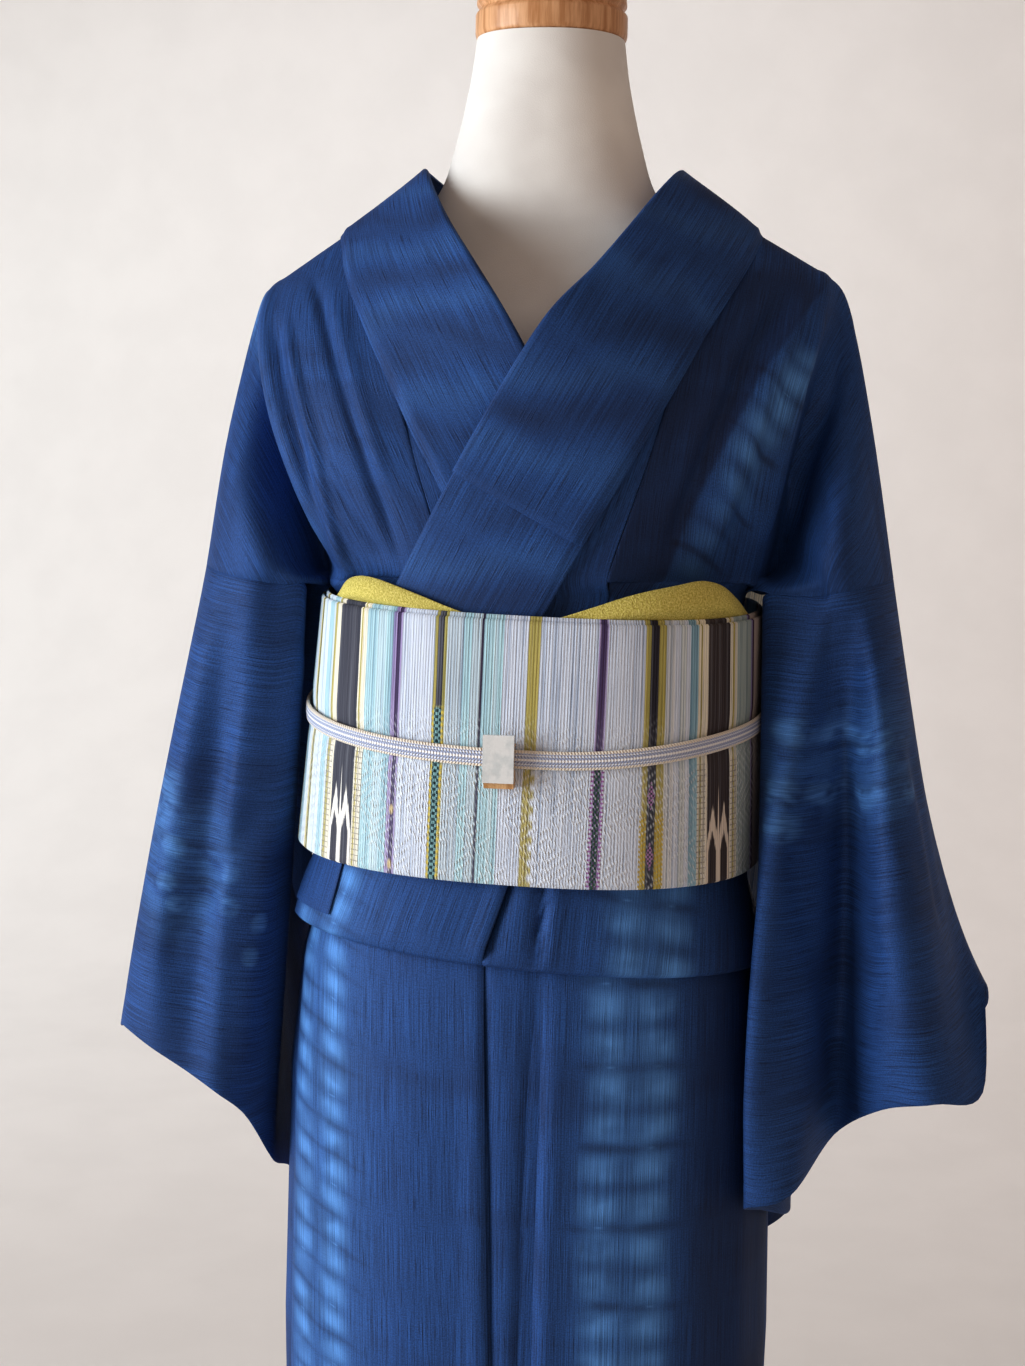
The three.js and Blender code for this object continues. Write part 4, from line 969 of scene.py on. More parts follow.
SLEEVE_STEPS = 7  # columns between two of its lines


def sleeve_grid(half, bodice, front_lines, back_lines):
    """A hanging sleeve: rows from the armhole down to the cuff, columns from front edge to back edge."""
    def three(entry, armhole):
        if len(entry) == 3:
            return entry
        x, y, z = armhole
        return ((x, y, z - SEAM_DROP), *entry)

    def layer(entries, armhole):
        return [three(entry, armhole[min(i, len(armhole) - 1)]) for i, entry in enumerate(entries)]

    front, back = layer(front_lines, bodice["armhole"]), layer(back_lines, BACK["armhole"])
    lines = np.array(front[::-1] + back, float)
    top, middle, end = (lines[:, k] for k in range(3))
    control = 2 * middle - (top + end) / 2
    t = np.linspace(0, 1, SLEEVE_ROWS)[:, None, None]
    rows = top * (1 - t) ** 2 + control * 2 * t * (1 - t) + end * t**2
    columns = spread(np.swapaxes(rows, 0, 1), SLEEVE_STEPS * (len(lines) - 1) + 1)
    return half.mirrored(np.swapaxes(columns, 0, 1))


# ---------------------------------------------------------------- collar end at the waist fold
FLAP_ROWS = columns_of("z start end", [(906, -112, -152), (925, -108, -150), (955, -103, -135)])


def flap_grid():
    lift = LEFT.legs[2] * LAYER + WALL + 0.5
    heights = FLAP_ROWS["z"]
    rows = []
    for z in np.linspace(heights[0], heights[-1], 16):
        start, end = (float(smooth_at(heights, FLAP_ROWS[k], z)) for k in ("start", "end"))
        rows.append(sloped(trunk_point(np.linspace(start, end, 17), z, lift), z))
    return np.array(rows)


# ---------------------------------------------------------------- obi
OBI_TILT_X = -0.025
OBI_TILT_Y = 0.03
OBI_LEAN = (-3, 3.5)  # the band leans sideways from its lower to its upper edge
INNER_TURN_RISE = 2.5  # the inner turn's edge shows over the outer one
CORD_LEVELS = columns_of("turn height", [
    (-102, 1033), (-60, 1026), (-6, 1020), (4, 1020), (60, 1032), (102, 1040),
])


def obi_points(angle, z, offset):
    """Points of the band's surface: angles round from the front centre, a height, offsets outwards."""
    size = size_at(OBI_SECTION, z)
    angle = np.asarray(angle, float)
    plan = section_point(size, angle, np.broadcast_to(offset, angle.shape), OBI_SQUARENESS)
    rise = OBI_TILT_X * plan[:, 0] + OBI_TILT_Y * (plan[:, 1] + OBI_SECTION["front"][0])
    lean = mix(*OBI_LEAN, (z - OBI_BOTTOM_Z) / (OBI_TOP_Z - OBI_BOTTOM_Z))
    return np.column_stack([plan[:, 0] + lean, plan[:, 1], z + rise])


WRAP_ANGLES = np.linspace(-math.pi, math.pi, 721)
wrap_line = obi_points(WRAP_ANGLES, OBI_TOP_Z - 0.01, np.full(721, OBI_LAYER))[:, :2]
WRAP_LENGTHS = lengths_along(wrap_line)
WRAP_LENGTHS -= WRAP_LENGTHS[360]  # signed distance round from the front centre
OBI_STEPS = 176  # to a turn
OBI_ROWS = 46
OBI_STEPS_OUT = (27 / 32, 30 / 32)  # the part of the first turn in which it climbs on to the inner one
CORD_PRESS = 1.3
CORD_PRESS_REACH = 9
CORD_PRESS_ENDS = (math.radians(118), 1.9)


def cord_level(angle):
    return smooth_at(CORD_LEVELS["turn"], CORD_LEVELS["height"], np.degrees(angle))


def obi_wrap():
    """Two turns from behind and back to behind, the outer one pressed in under the cord."""
    shift = OBI_STEPS // 16
    numbers = np.arange(-shift, 2 * OBI_STEPS - shift + 1)
    angles = -math.pi + 2 * math.pi * numbers / OBI_STEPS
    layer = ease(OBI_STEPS * OBI_STEPS_OUT[0], OBI_STEPS * OBI_STEPS_OUT[1], numbers)
    round_angle = (angles + math.pi) % (2 * math.pi) - math.pi
    length = np.interp(round_angle, WRAP_ANGLES, WRAP_LENGTHS)
    rows, flat = [], []
    for share in np.linspace(0, 1, OBI_ROWS):
        z = mix(OBI_BOTTOM_Z, OBI_TOP_Z, share)
        press = CORD_PRESS * bell(z - cord_level(round_angle), CORD_PRESS_REACH) * layer
        press = press * ease(*CORD_PRESS_ENDS, abs(round_angle))
        row = obi_points(angles, z, OBI_LAYER * layer - press)
        row[:, 2] += (1 - layer) * INNER_TURN_RISE * share
        rows.append(row)
        flat.append(at_height(z - OBI_BOTTOM_Z, length))
    grid = np.swapaxes(np.array(rows), 0, 1)
    return grid, np.swapaxes(np.array(flat), 0, 1)


DRUM_HALF_WIDTH = 154
DRUM_CURVE = 8
DRUM_PROFILE = [
    (119.5, 1078), (121, 1102), (130, 1120), (150, 1130), (174, 1124), (190, 1100), (197, 1050),
    (196, 985), (188, 930), (177, 908), (165, 916), (160, 945), (160, 990), (160, 1040),
]
TAIL_PROFILE = [(129.8, 975), (137, 950), (146, 925), (151, 890), (153, 838)]
END_DEPTH = 160 - OBI_WALL - 0.5
DRUM_SHARES = np.linspace(-1, 1, 81)
DRUM_NECK = 92  # its half width behind the band, before it widens into the bow
DRUM_HUG = 26  # how far forward the neck's curve round the band would reach at the drum's half width
DRUM_NECK_ABOVE_Z = 1000
TAIL_NECK = 80
TAIL_CURVE = 16


def drum_bend(x):
    return -DRUM_CURVE * (x / DRUM_HALF_WIDTH) ** 2


def drum_grid():
    rows = []
    for y, z in spread(DRUM_PROFILE, 131):
        neck = z > DRUM_NECK_ABOVE_Z
        wide = mix(DRUM_NECK, DRUM_HALF_WIDTH, ease(120, 150, y))
        x = DRUM_SHARES * (DRUM_NECK if y < 125 and neck else wide)
        hug = -DRUM_HUG * (x / DRUM_HALF_WIDTH) ** 2 * ease(127, 121, y) if neck else 0 * x
        rows.append(at_height(z, x, y + drum_bend(x) + hug))
    return np.array(rows)


def tail_grid():
    rows = []
    for y, z in spread(TAIL_PROFILE, 45):
        x = DRUM_SHARES * mix(TAIL_NECK, 150, ease(960, 925, z))
        rows.append(at_height(z, x, y - TAIL_CURVE * (x / DRUM_HALF_WIDTH) ** 2))
    return np.array(rows)


def end_grid():
    x = DRUM_SHARES * (DRUM_HALF_WIDTH + 3)
    return np.array([at_height(z, x, END_DEPTH + drum_bend(x)) for z in np.linspace(945, 1078, 30)])


# ---------------------------------------------------------------- obiage
OBIAGE_WALL = 1.2
OBIAGE_CLEAR = 0.68
OBIAGE_FROM = 5.5
OBIAGE_TO = 350.5
OBIAGE_TUCK = 9  # how far its lower edge reaches down behind the band
OBIAGE_FULL = (1107, 1121)  # crest heights at which it begins to puff out and is fully puffed
OBIAGE_CREST_LEFT = columns_of("turn crest", [
    (5, 1101), (13, 1108.5), (22, 1116), (37, 1123), (48, 1125.5),
    (56, 1122), (64, 1114), (73, 1104), (80, 1098), (180, 1098),
])
OBIAGE_CREST_RIGHT = columns_of("turn crest", [
    (9, 1101.5), (14, 1105), (21, 1110), (30, 1115), (38, 1118),
    (46, 1118), (53, 1114), (60, 1105), (68, 1098), (180, 1098),
])


def obiage_grid():
    inside = -(OBI_WALL / 2 + OBIAGE_CLEAR + OBIAGE_WALL / 2)
    columns = []
    for degrees in np.linspace(OBIAGE_FROM, OBIAGE_TO, 260):
        turn = 360 - degrees if degrees > 180 else degrees
        crests = OBIAGE_CREST_RIGHT if degrees > 180 else OBIAGE_CREST_LEFT
        crest = float(smooth_at(crests["turn"], crests["crest"], turn))
        bulge = float(np.clip((crest - OBIAGE_FULL[0]) / (OBIAGE_FULL[1] - OBIAGE_FULL[0]), 0, 1))
        low = OBI_TOP_Z - OBIAGE_TUCK
        profile = [
            (low, inside),
            (min(OBI_TOP_Z + 1.8, mix(low, crest, 0.5)), inside),
            (mix(low, crest, 0.62), mix(inside, 2.5, bulge)),
            (mix(low, crest, 0.88), mix(inside, 0.5, bulge)),
            (crest, inside),
        ]
        column = []
        for z, offset in spread(profile, 25):
            point = obi_points(np.radians([degrees]), OBI_TOP_Z - 0.01, np.array([offset]))[0]
            column.append(point + (0, 0, z - OBI_TOP_Z))
        columns.append(column)
    return np.array(columns)


# ---------------------------------------------------------------- obijime
CORD_CLEAR = OBI_WALL / 2 + CORD_DEPTH / 2
CORD_BEHIND = [(150, 60), (158, 110), (163, 150), (164, 188), (148, 202), (70, 204), (0, 205)]
CORD_SUNK = 0.2  # pressed into the band by this much, where the CAD's cord stands 0.7 off it


def cord_path():
    """The closed line of the cord: over the band in front, round the drum behind."""
    levels = CORD_LEVELS["turn"]
    turns = np.radians(np.linspace(levels[0], levels[-1], 29))
    offset = np.array([OBI_LAYER + CORD_CLEAR - CORD_SUNK])
    front = [obi_points([a], float(cord_level(a)), offset)[0] for a in turns]
    left = [(x, y, 1036) for x, y in CORD_BEHIND]
    right = [(-x, y, 1034) for x, y in CORD_BEHIND[:-1][::-1]]
    centres = np.array([*front, *left, *right], float)
    count = len(centres)
    padded = np.concatenate([centres[-2:], centres, centres[:3]])
    return resample(padded, np.linspace(2, count + 2, 12 * count + 1))[:-1]


def cord_mesh():
    """A flat braid: ribs along it, each crossed by the slant of its strands."""
    path = cord_path()
    along = unit(np.roll(path, -1, axis=0) - np.roll(path, 1, axis=0))
    out = unit(np.cross(along, (0, 0, 1.0)))
    up = np.cross(out, along)
    lengths = lengths_along(path)
    around = np.linspace(0, 2 * math.pi, 48, endpoint=False)
    power = 2 / 3.2
    depth = np.sign(np.cos(around)) * np.abs(np.cos(around)) ** power
    height = np.sign(np.sin(around)) * np.abs(np.sin(around)) ** power
    rib = 0.16 * np.cos(height * math.pi * 5)
    rings = (
        path[:, None]
        + out[:, None] * (depth * (CORD_DEPTH / 2 - 0.35 + rib))[None, :, None]
        + up[:, None] * (height * CORD_HEIGHT / 2)[None, :, None]
    )
    count, size = rings.shape[:2]
    faces = []
    points = np.concatenate([rings, rings[:1]]).reshape(-1, 3)
    lengths = np.append(lengths, lengths[-1] + np.linalg.norm(path[0] - path[-1]))
    flat = np.array([[(h * CORD_HEIGHT / 2) * MM, s * MM] for s in lengths for h in height])
    for i in range(count):
        for j in range(size):
            n = (j + 1) % size
            faces.append([i * size + j, (i + 1) * size + j, (i + 1) * size + n, i * size + n])
    return points, faces, flat


# ---------------------------------------------------------------- dress form and stand
# Each section is its height, half width, depth in front and depth behind.
FORM_SECTIONS = [
    (640, 100, 78, 84),
    (648, 128, 98, 106),
    (672, 142, 108, 118),
    (760, 152, 113, 127),
    (850, 148, 112, 127),
    (900, 135, 103, 116),
    (940, 123, 97, 106),
    (1030, 115.6, 95.6, 94.6),
    (1100, 114, 93, 90),
    (1160, 128, 96, 96),
    (1215, 141, 92, 98),
    (1250, 151, 80, 92),
    (1278, 160, 62, 80),
    (1296, 156, 48, 66),
    (1310, 144, 41, 56),
    (1321, 126, 39, 50),
    (1332, 104, 40, 48),
    (1345, 82, 44, 49),
    (1362, 67, 48, 50),
    (1390, 58, 49, 49),
    (1425, 50, 47, 47),
    (1453, 46, 46, 46),
]
NECK_TOP_Z = 1453
POLE_RADIUS = 12.5
BASE_HEIGHT = 14


def lofted(name, rings):
    """A closed solid through rings of equal count."""
    count, size = rings.shape[:2]
    faces = []
    for i in range(count - 1):
        for j in range(size):
            n = (j + 1) % size
            faces.append([i * size + j, i * size + n, (i + 1) * size + n, (i + 1) * size + j])
    faces.append(list(range(size))[::-1])
    faces.append([(count - 1) * size + j for j in range(size)])
    points = rings.reshape(-1, 3)
    return make_object(name, points, faces, points[:, [0, 2]] * MM)


def torso_rings():
    sections = spread(FORM_SECTIONS, 6 * (len(FORM_SECTIONS) - 1) + 1)
    angles = np.linspace(0, 2 * math.pi, 128, endpoint=False)
    return np.array([at_height(z, section_point(size, angles, np.zeros(128))) for z, *size in sections])


def turned_rings(profile, radius):
    """Rings of a turned shape: (radius, z) down its profile, never quite at the axis."""
    angles = np.linspace(0, 2 * math.pi, 96, endpoint=False)
    cosines, sines = np.cos(angles), np.sin(angles)
    return np.array([at_height(z, r * cosines, r * sines) for r, z in rounded(profile, radius)])


def rounded(profile, radius, steps=4):
    """The profile with each of its inner corners rounded off."""
    points = [np.array(profile[0], float)]
    for before, corner, after in zip(profile, profile[1:], profile[2:]):
        before, corner, after = (np.array(p, float) for p in (before, corner, after))
        lengths = [np.linalg.norm(before - corner), np.linalg.norm(after - corner)]
        reach = min(radius, lengths[0] * 0.45, lengths[1] * 0.45)
        start = corner + (before - corner) / lengths[0] * reach
        end = corner + (after - corner) / lengths[1] * reach
        for t in np.linspace(0, 1, steps):
            points.append(mix(mix(start, corner, t), mix(corner, end, t), t))
    points.append(np.array(profile[-1], float))
    return points


CAP_Z = NECK_TOP_Z + SEAM_GAP
CAP_PROFILE = [
    (0.5, CAP_Z), (46.5, CAP_Z), (47.5, CAP_Z + 3), (47.5, CAP_Z + 15), (44.5, CAP_Z + 18),
    (47, CAP_Z + 21), (46, CAP_Z + 30), (34, CAP_Z + 38), (16, CAP_Z + 42), (0.5, CAP_Z + 43),
]
FLANGE_PROFILE = [(0.5, 626), (40, 626), (42, 628), (42, 639.7), (0.5, 639.7)]
POLE_FOOT, POLE_TOP = BASE_HEIGHT + SEAM_GAP, 626 - SEAM_GAP
POLE_PROFILE = [(0.5, POLE_FOOT), (POLE_RADIUS, POLE_FOOT), (POLE_RADIUS, POLE_TOP), (0.5, POLE_TOP)]
BASE_PROFILE = [(0.5, 0), (158, 0), (160, 2), (160, 6), (152, 10), (30, BASE_HEIGHT), (0.5, BASE_HEIGHT)]


# ---------------------------------------------------------------- materials
def within(signal, lo, hi, soft=0.25):
    return signal.step(lo - soft, lo + soft) * signal.step(hi + soft, hi - soft)


def lower(a, b):
    return a.math("MINIMUM", b)


def added(signals):
    return sum(signals[1:], signals[0])


def tsumugi(name, dye=None, turned=False):
    """Pongee silk: navy, with fine slubs in the warp and fainter ones in the weft.

    turned puts the warp across the piece. A dye gives how pale and how dark each place is; the wearer's left
    body length's dye also holds painted shade.
    """
    paint = Paint(name, roughness=0.7, specular=0.4, metallic=0.2)
    across, along = paint.flat()
    beside, length = (along, across) if turned else (across, along)
    thread = paint.noise(beside * 1.9, length * 0.02, 0.0, detail=0.0)
    grain = paint.noise(beside * 1.1, length * 1.1, 3.0, detail=2.0)
    slub = paint.noise(beside * 1.4, length * 0.05, 11.0, detail=0.0)
    weft = paint.noise(beside * 0.12, length * 1.7, 23.0, detail=1.0)
    cloudy = paint.noise(across * 0.007, along * 0.018, 5.0, detail=2.0)
    streaks = thread.step(0.25, 0.75) * 0.55 + grain.step(0.3, 0.7) * 0.45
    paint.between("18335f", "3060a6", streaks)
    paint.over("14254c", weft.step(0.55, 0.85) * 0.5)
    paint.over("0e1836", slub.step(0.7, 0.82) * 0.62)
    paint.over("12234a", cloudy.step(0.45, 0.65) * 0.3)
    if dye is not None:
        pale, dark = dye(paint, across, along)
        paint.over("70aef2", pale * (thread.step(0.2, 0.8) * 0.6 + 0.7))
        # dark also carries the painted shade of the wearer's left body length
        paint.over("0f1a3a", lower(dark, 1.0))
    paint.bump(thread * 0.4 + grain * 0.7 + slub.step(0.6, 0.8) * 0.6 + weft * 0.4, 0.24)
    return paint.done()


def bound_rows(
    paint, across, along, columns, width, reach, period, slant, span,
    drift=0.0, strong=1, seed=0.0, jitter=0.4,
):
    """Pale blotches between dark streaks, where the cloth was bound in rows before it was dyed.

    columns are the blotches' places across the cloth and drift moves them as they go along it;
    strong is how many rows there are to each of the deeper streaks.
    """
    wander = paint.noise(along * 0.012, seed, 3.0, detail=1.0) - 0.5
    place = across + along * drift + wander * 22
    uneven = paint.noise(across * 0.02, along * 0.02, seed + 9, detail=2.0)
    shifted = along - across * slant + (uneven - 0.5) * period * jitter
    row = shifted.cycle(period).distance(0.5)
    deep = shifted.cycle(period * strong).distance(0.5).step(0.36, 0.47)
    shown = along.step(span[0], span[0] + 25) * along.step(span[1], span[1] - 25)
    blotch = added([place.spot(c, width) for c in columns])
    middle = sum(columns) / len(columns)
    halo = place.spot(middle, reach)
    patchy = paint.noise(across * 0.035, along * 0.05, seed + 30, detail=1.0)
    pale = blotch * (row.step(0.48, 0.05) * 0.4 + 0.16) * (patchy.step(0.3, 0.56) * 0.6 + 0.4) + halo * 0.12
    streak = row.step(0.28, 0.5) * halo.step(0.0, 0.6) * patchy.step(0.66, 0.42) * (deep * 0.3 + 0.18)
    knots = added([place.spot(c, 4) for c in columns]) * row.step(0.45, 0.5) * deep
    return (pale + knots * patchy.step(0.45, 0.55) * 0.3) * shown, streak * shown


def round_spot(across, along, centre, size):
    """A single soft spot: centre and size are (across, along)."""
    x = (across - centre[0]) / size[0]
    y = (along - centre[1]) / size[1]
    return (x * x + y * y).step(1, 0)


def okumi_dye(paint, across, along):
    pale, dark = bound_rows(paint, across, along, (106, 137), 17, 64, 19.5, 0.26, (-40, 1245), seed=1.0)
    return pale * 0.9, dark * 0.55


def body_left_dye_and_shade(paint, across, along):
    skirt = bound_rows(
        paint, across, along, (77, 47), 20, 54, 25, 0.03, (-40, 1245), strong=2, seed=4.0, jitter=0.25
    )
    chest = bound_rows(paint, across, along - 12, (514,), 20, 34, 20.5, 0.17, (1370, 1560), 0.33, 2, 7.0)
    back = bound_rows(paint, across, along, (70,), 24, 46, 25, 0.1, (2480, 3500), seed=2.0)
    # painted shade: the skirt grows darker towards its side below the chest, where it turns away from the
    # light, and its pale blotches fade there
    side = across.step(40, 0) * along.step(1300, 1200) * 0.55
    # painted shade: the chest is darker beyond a slanting line, on the side of the crease there that turns
    # away from the light; the pale blotches stop at that line
    fold = across + along * 0.33
    front = fold.step(534, 538) * within(along, 1370, 1620, 20) * 0.55
    chest_pale = chest[0] * (along.step(1430, 1520) * 0.7 + 0.3) * fold.step(538, 534)
    pale = added([skirt[0] * 0.9, chest_pale * 0.8, back[0] * 0.8])
    return pale * (side * -1.2 + 1), added([skirt[1] * 0.8, chest[1], back[1], side, front])


def body_right_dye(paint, across, along):
    shoulder = bound_rows(paint, across, along, (-22,), 26, 40, 45, 0.4, (1400, 1640), seed=5.0)
    back = bound_rows(paint, across, along, (70,), 24, 46, 25, 0.1, (2480, 3500), seed=6.0)
    return added([shoulder[0] * 0.6, back[0]]), added([shoulder[1] * 0.5, back[1]])


# Each spot's centre and size, across and along the flat sleeve.
SLEEVE_SPOTS_RIGHT = [
    ((295, 176), (11, 9)), ((299, 200), (9, 8)), ((289, 212), (9, 8)), ((251, 186), (10, 8)),
    ((247, 208), (9, 8)), ((225, 217), (8, 9)), ((229, 238), (8, 9)), ((318, 150), (26, 30)),
]
SLEEVE_SPOTS_LEFT = [
    ((275, 84), (22, 11)), ((312, 88), (24, 10)), ((345, 94), (20, 10)), ((262, 121), (20, 12)),
    ((300, 122), (22, 11)), ((345, 126), (24, 10)), ((392, 128), (16, 9)), ((262, 142), (24, 12)),
]


def sleeve_dye(spots, glow):
    def dye(paint, across, along):
        pale = added([round_spot(across, along, centre, size) for centre, size in spots])
        uneven = paint.noise(across * 0.05, along * 0.09, 7.0, detail=2.0)
        around = round_spot(across, along, *glow) * 0.3
        dark = around * (along + uneven * 20).cycle(26).distance(0.5).step(0.3, 0.5)
        streaky = paint.noise(across * 0.03, along * 0.5, 17.0, detail=2.0).step(0.3, 0.65)
        return (pale * 0.38 * (streaky * 0.6 + 0.4) + around * 0.5) * uneven.step(0.2, 0.6), dark
    return dye


def collar_dye(paint, across, along):
    """Broad soft bars across the collar."""
    uneven = paint.noise(across * 0.012, along * 0.01, 3.0, detail=2.0)
    bars = (along + across * 0.35 + uneven * 90).cycle(62).distance(0.5)
    patchy = paint.noise(across * 0.02, along * 0.008, 13.0, detail=1.0).step(0.3, 0.7)
    return bars.step(0.3, 0.0) * 0.05, bars.step(0.15, 0.5) * (patchy * 0.35 + 0.1)


# The obi's warp stripes: where each begins, in millimetres round from the front centre at the band's top.
# Up to half of these places are the output of scripts that measured the photograph.
CREAM, YELLOW, CYAN, PALE_CYAN, GREY = "f4efdc", "bfb468", "b8dde8", "e6f3fb", "dce7f8"
SLATE, PURPLE, LAVENDER, TEAL, GREEN = "50525f", "55426e", "ab9dca", "9fc8da", "b4c4c0"
OBI_STRIPES = [
    (-400, GREY), (-260, CYAN), (-230, CREAM), (-215, PURPLE), (-210, GREY), (-190, YELLOW), (-182, CYAN),
    (-170, PALE_CYAN), (-161, CREAM), (-158.8, YELLOW), (-156.5, SLATE), (-155, YELLOW), (-153.2, PALE_CYAN),
    (-140, CYAN), (-134, PALE_CYAN), (-131.2, YELLOW), (-129.1, CREAM), (-124, SLATE), (-103.5, CREAM),
    (-102, YELLOW), (-101, CREAM), (-98, CYAN), (-89, "cce6f0"), (-83, CYAN), (-77, LAVENDER),
    (-74.9, PURPLE), (-72.3, LAVENDER), (-71, GREY), (-49.6, YELLOW),
    (-47.8, SLATE), (-44.2, YELLOW), (-42.2, "c8d8e4"), (-32, CYAN), (-27, "c4d8e4"),
    (-21.6, "3a2c4a"), (-20, CYAN), (-14, "cce6f0"), (-11, CYAN), (-8.4, GREY), (6.5, YELLOW), (13.4, GREY),
    (47.2, LAVENDER), (48.6, PURPLE), (51.8, LAVENDER), (53, GREY), (75, YELLOW), (78.2, "2f2c38"),
    (83, YELLOW), (87.9, "dde2e6"), (93, GREY), (97, "d5dfe3"), (101, GREY), (104, TEAL), (109, CREAM),
    (111.3, YELLOW), (112.5, CREAM), (116.8, "4b4242"), (136, CREAM), (139.1, YELLOW),
    (140.5, CREAM), (143.2, GREEN), (162, LAVENDER), (164, "4a2c4e"), (167.5, "c9bcb4"), (201.5, "c3b9b4"),
    (240, CYAN), (270, CREAM), (300, SLATE), (312, CREAM), (330, GREY),
]
RAMP_STOPS = 24  # a colour ramp holds few stops, so the stripes are shared among several
BAND_HEIGHT = OBI_TOP_Z - OBI_BOTTOM_Z
DIAMOND = (31, 36)  # the woven lattice of diamond rings: width, height
DIAMOND_PITCH = 5.2
STRIPE_LEAN = 0.06  # wound tighter below, so the stripes draw together there
STRIPE_UPRIGHT_AT = 48


def stripe(paint, place):
    """Gives the paint the stripes' colours."""
    for first in range(0, len(OBI_STRIPES), RAMP_STOPS):
        stops = OBI_STRIPES[first:first + RAMP_STOPS]
        lo, hi = stops[0][0], stops[-1][0] + 1
        colours = paint.stripes(
            (place - lo) / (hi - lo), [((at - lo) / (hi - lo), srgb(code)) for at, code in stops]
        )
        if first == 0:
            paint.colour = colours
        else:
            paint.mix(paint.colour, colours, place.step(lo - 0.1, lo + 0.1))


def kasuri(paint, place, height, centre, half_width):
    """A white arrowhead resist-dyed into a dark stripe: a tall spike between two lower ones."""
    ragged = (paint.noise(place * 2.4, height * 0.05, 31.0, detail=1.0) - 0.5) * 14
    beside = place.distance(centre)
    top = height + ragged
    spike = ((top * -1 + 58) * 0.03 - beside).step(-0.3, 0.3) * top.step(60, 57)
    shoulder = ((top * -1 + 47) * 0.2 - beside.distance(4.7)).step(-0.35, 0.35)
    pillar = (lower((top * -1 + 31) * 0.26, 3.1) - beside.distance(4.9)).step(-0.3, 0.3)
    shown = beside.step(half_width + 0.1, half_width - 0.1)
    return spike.math("MAXIMUM", shoulder * pillar.flipped()) * shown


def checker(place, height, wide, tall):
    """1 and 0 in turn, in cells."""
    a = place.cycle(2 * wide).step(0.48, 0.52)
    b = height.cycle(2 * tall).step(0.48, 0.52)
    return (a - b).math("ABSOLUTE")


def ribs(paint, place, height):
    """The warp's fine cords, darker and paler in turn."""
    rib = paint.noise(place * 0.6, height * 0.004, 0.0, detail=2.0)
    fine = paint.noise(place * 1.8, height * 0.03, 8.0, detail=0.0)
    cord = place.cycle(1.75).spot(0.5, 0.5)
    paint.over("94a8c0", rib.step(0.5, 0.34) * 0.5, "MULTIPLY")
    paint.over("8a9ab2", fine.step(0.42, 0.26) * 0.3, "MULTIPLY")
    paint.over("a4aebc", cord.flipped() * 0.36, "MULTIPLY")
    paint.over("5a6068", rib.step(0.52, 0.66) * 0.5, "SCREEN")
    return rib, fine, cord


def diamonds(paint, place, height):
    """A lattice of diamond rings in floating threads, in the band's lower half."""
    ground = added([within(place, -124, -103.5), within(place, 116.8, 136)]).flipped()
    figured = height.step(108, 70) * ground
    wide = (place + 8).cycle(DIAMOND[0]).distance(0.5) * DIAMOND[0]
    tall = (height + 14).cycle(DIAMOND[1]).distance(0.5) * DIAMOND[1]
    rings = (wide * 0.85 + tall).cycle(DIAMOND_PITCH).spot(0.5, 0.4)
    floats = rings * (place + height * 0.3).cycle(1.9).spot(0.5, 0.45) * figured
    patchy = paint.noise(place * 0.05, height * 0.03, 15.0, detail=1.0).step(0.4, 0.52)
    lattice = floats * (patchy * 0.7 + 0.3)
    paint.over("c4ccd4", lattice, "SCREEN")
    paint.over("5c6672", figured * 0.35, "SCREEN")
    return lattice


def small_figures(paint, place, height):
    """Checks, flowers and dots woven into single stripes."""
    olive = within(place, -49.6, -42.2) * height.step(104, 100)
    core = olive * within(place, -48.2, -43.8)
    paint.over("2c4a52", core)
    paint.over("82aeb4", core * checker(place + 1.2, height, 2.2, 1.8))
    paint.over("d2c056", olive * core.flipped() * height.cycle(3.6).spot(0.5, 0.5))
    violet = height.step(80, 76)
    paint.over("2c5347", violet * within(place, 48.3, 52) * checker(place, height, 1.2, 1.6))
    edges = added([within(place, 46.3, 48.2), within(place, 52.2, 54)])
    paint.over("9a62a8", violet * edges * height.cycle(2.6).spot(0.5, 0.4))
    for flower in (55, 19):
        shape = (place.distance(80.6) / 2.3 + height.distance(flower) / 9).step(1.1, 0.9)
        paint.over("b58abf", shape * checker(place, height, 1.1, 1.3))
    for dot in (38, 5):
        paint.over("cfc09a", round_spot(place, height, (-73.6, dot), (1.9, 4)))
    gold = added([within(place, 74, 78.2), within(place, 83, 88.5)]) * height.step(48, 40)
    paint.over("c4ab3c", gold * checker(place, height + place * 0.6, 1.3, 1.5) * 0.8)
    paint.over(GREY, within(place, 11.2, 14) * height.step(80, 60) * height.cycle(9).spot(0.5, 0.45))


def arrowheads(paint, place, height):
    """Two dark stripes with netting beside them and a white arrowhead each."""
    for centre, half_width, code in ((-113.7, 10.2, "f2f2ee"), (126.4, 9.6, "e2d8ca")):
        beside = place.distance(centre)
        net = within(beside, half_width + 1, half_width + 7.5) * height.step(76, 70)
        mesh = added([place.cycle(3.1).step(0.72, 0.86), height.cycle(3.3).step(0.76, 0.88)])
        paint.over("8d8a80", net * lower(mesh, 1.0) * 0.7)
        paint.over(code, kasuri(paint, place, height, centre, half_width))


def obi_weave():
    paint = Paint("obi_weave", roughness=0.65, specular=0.3)
    across, height = paint.flat()
    place = across - across.distance(STRIPE_UPRIGHT_AT) * STRIPE_LEAN * (height * (-1 / BAND_HEIGHT) + 1)
    stripe(paint, place)
    rib, fine, cord = ribs(paint, place, height)
    lattice = diamonds(paint, place, height)
    small_figures(paint, place, height)
    arrowheads(paint, place, height)
    paint.bump(lattice + rib * 0.6 + cord * 0.35 + fine * 0.5, 0.6)
    return paint.done()


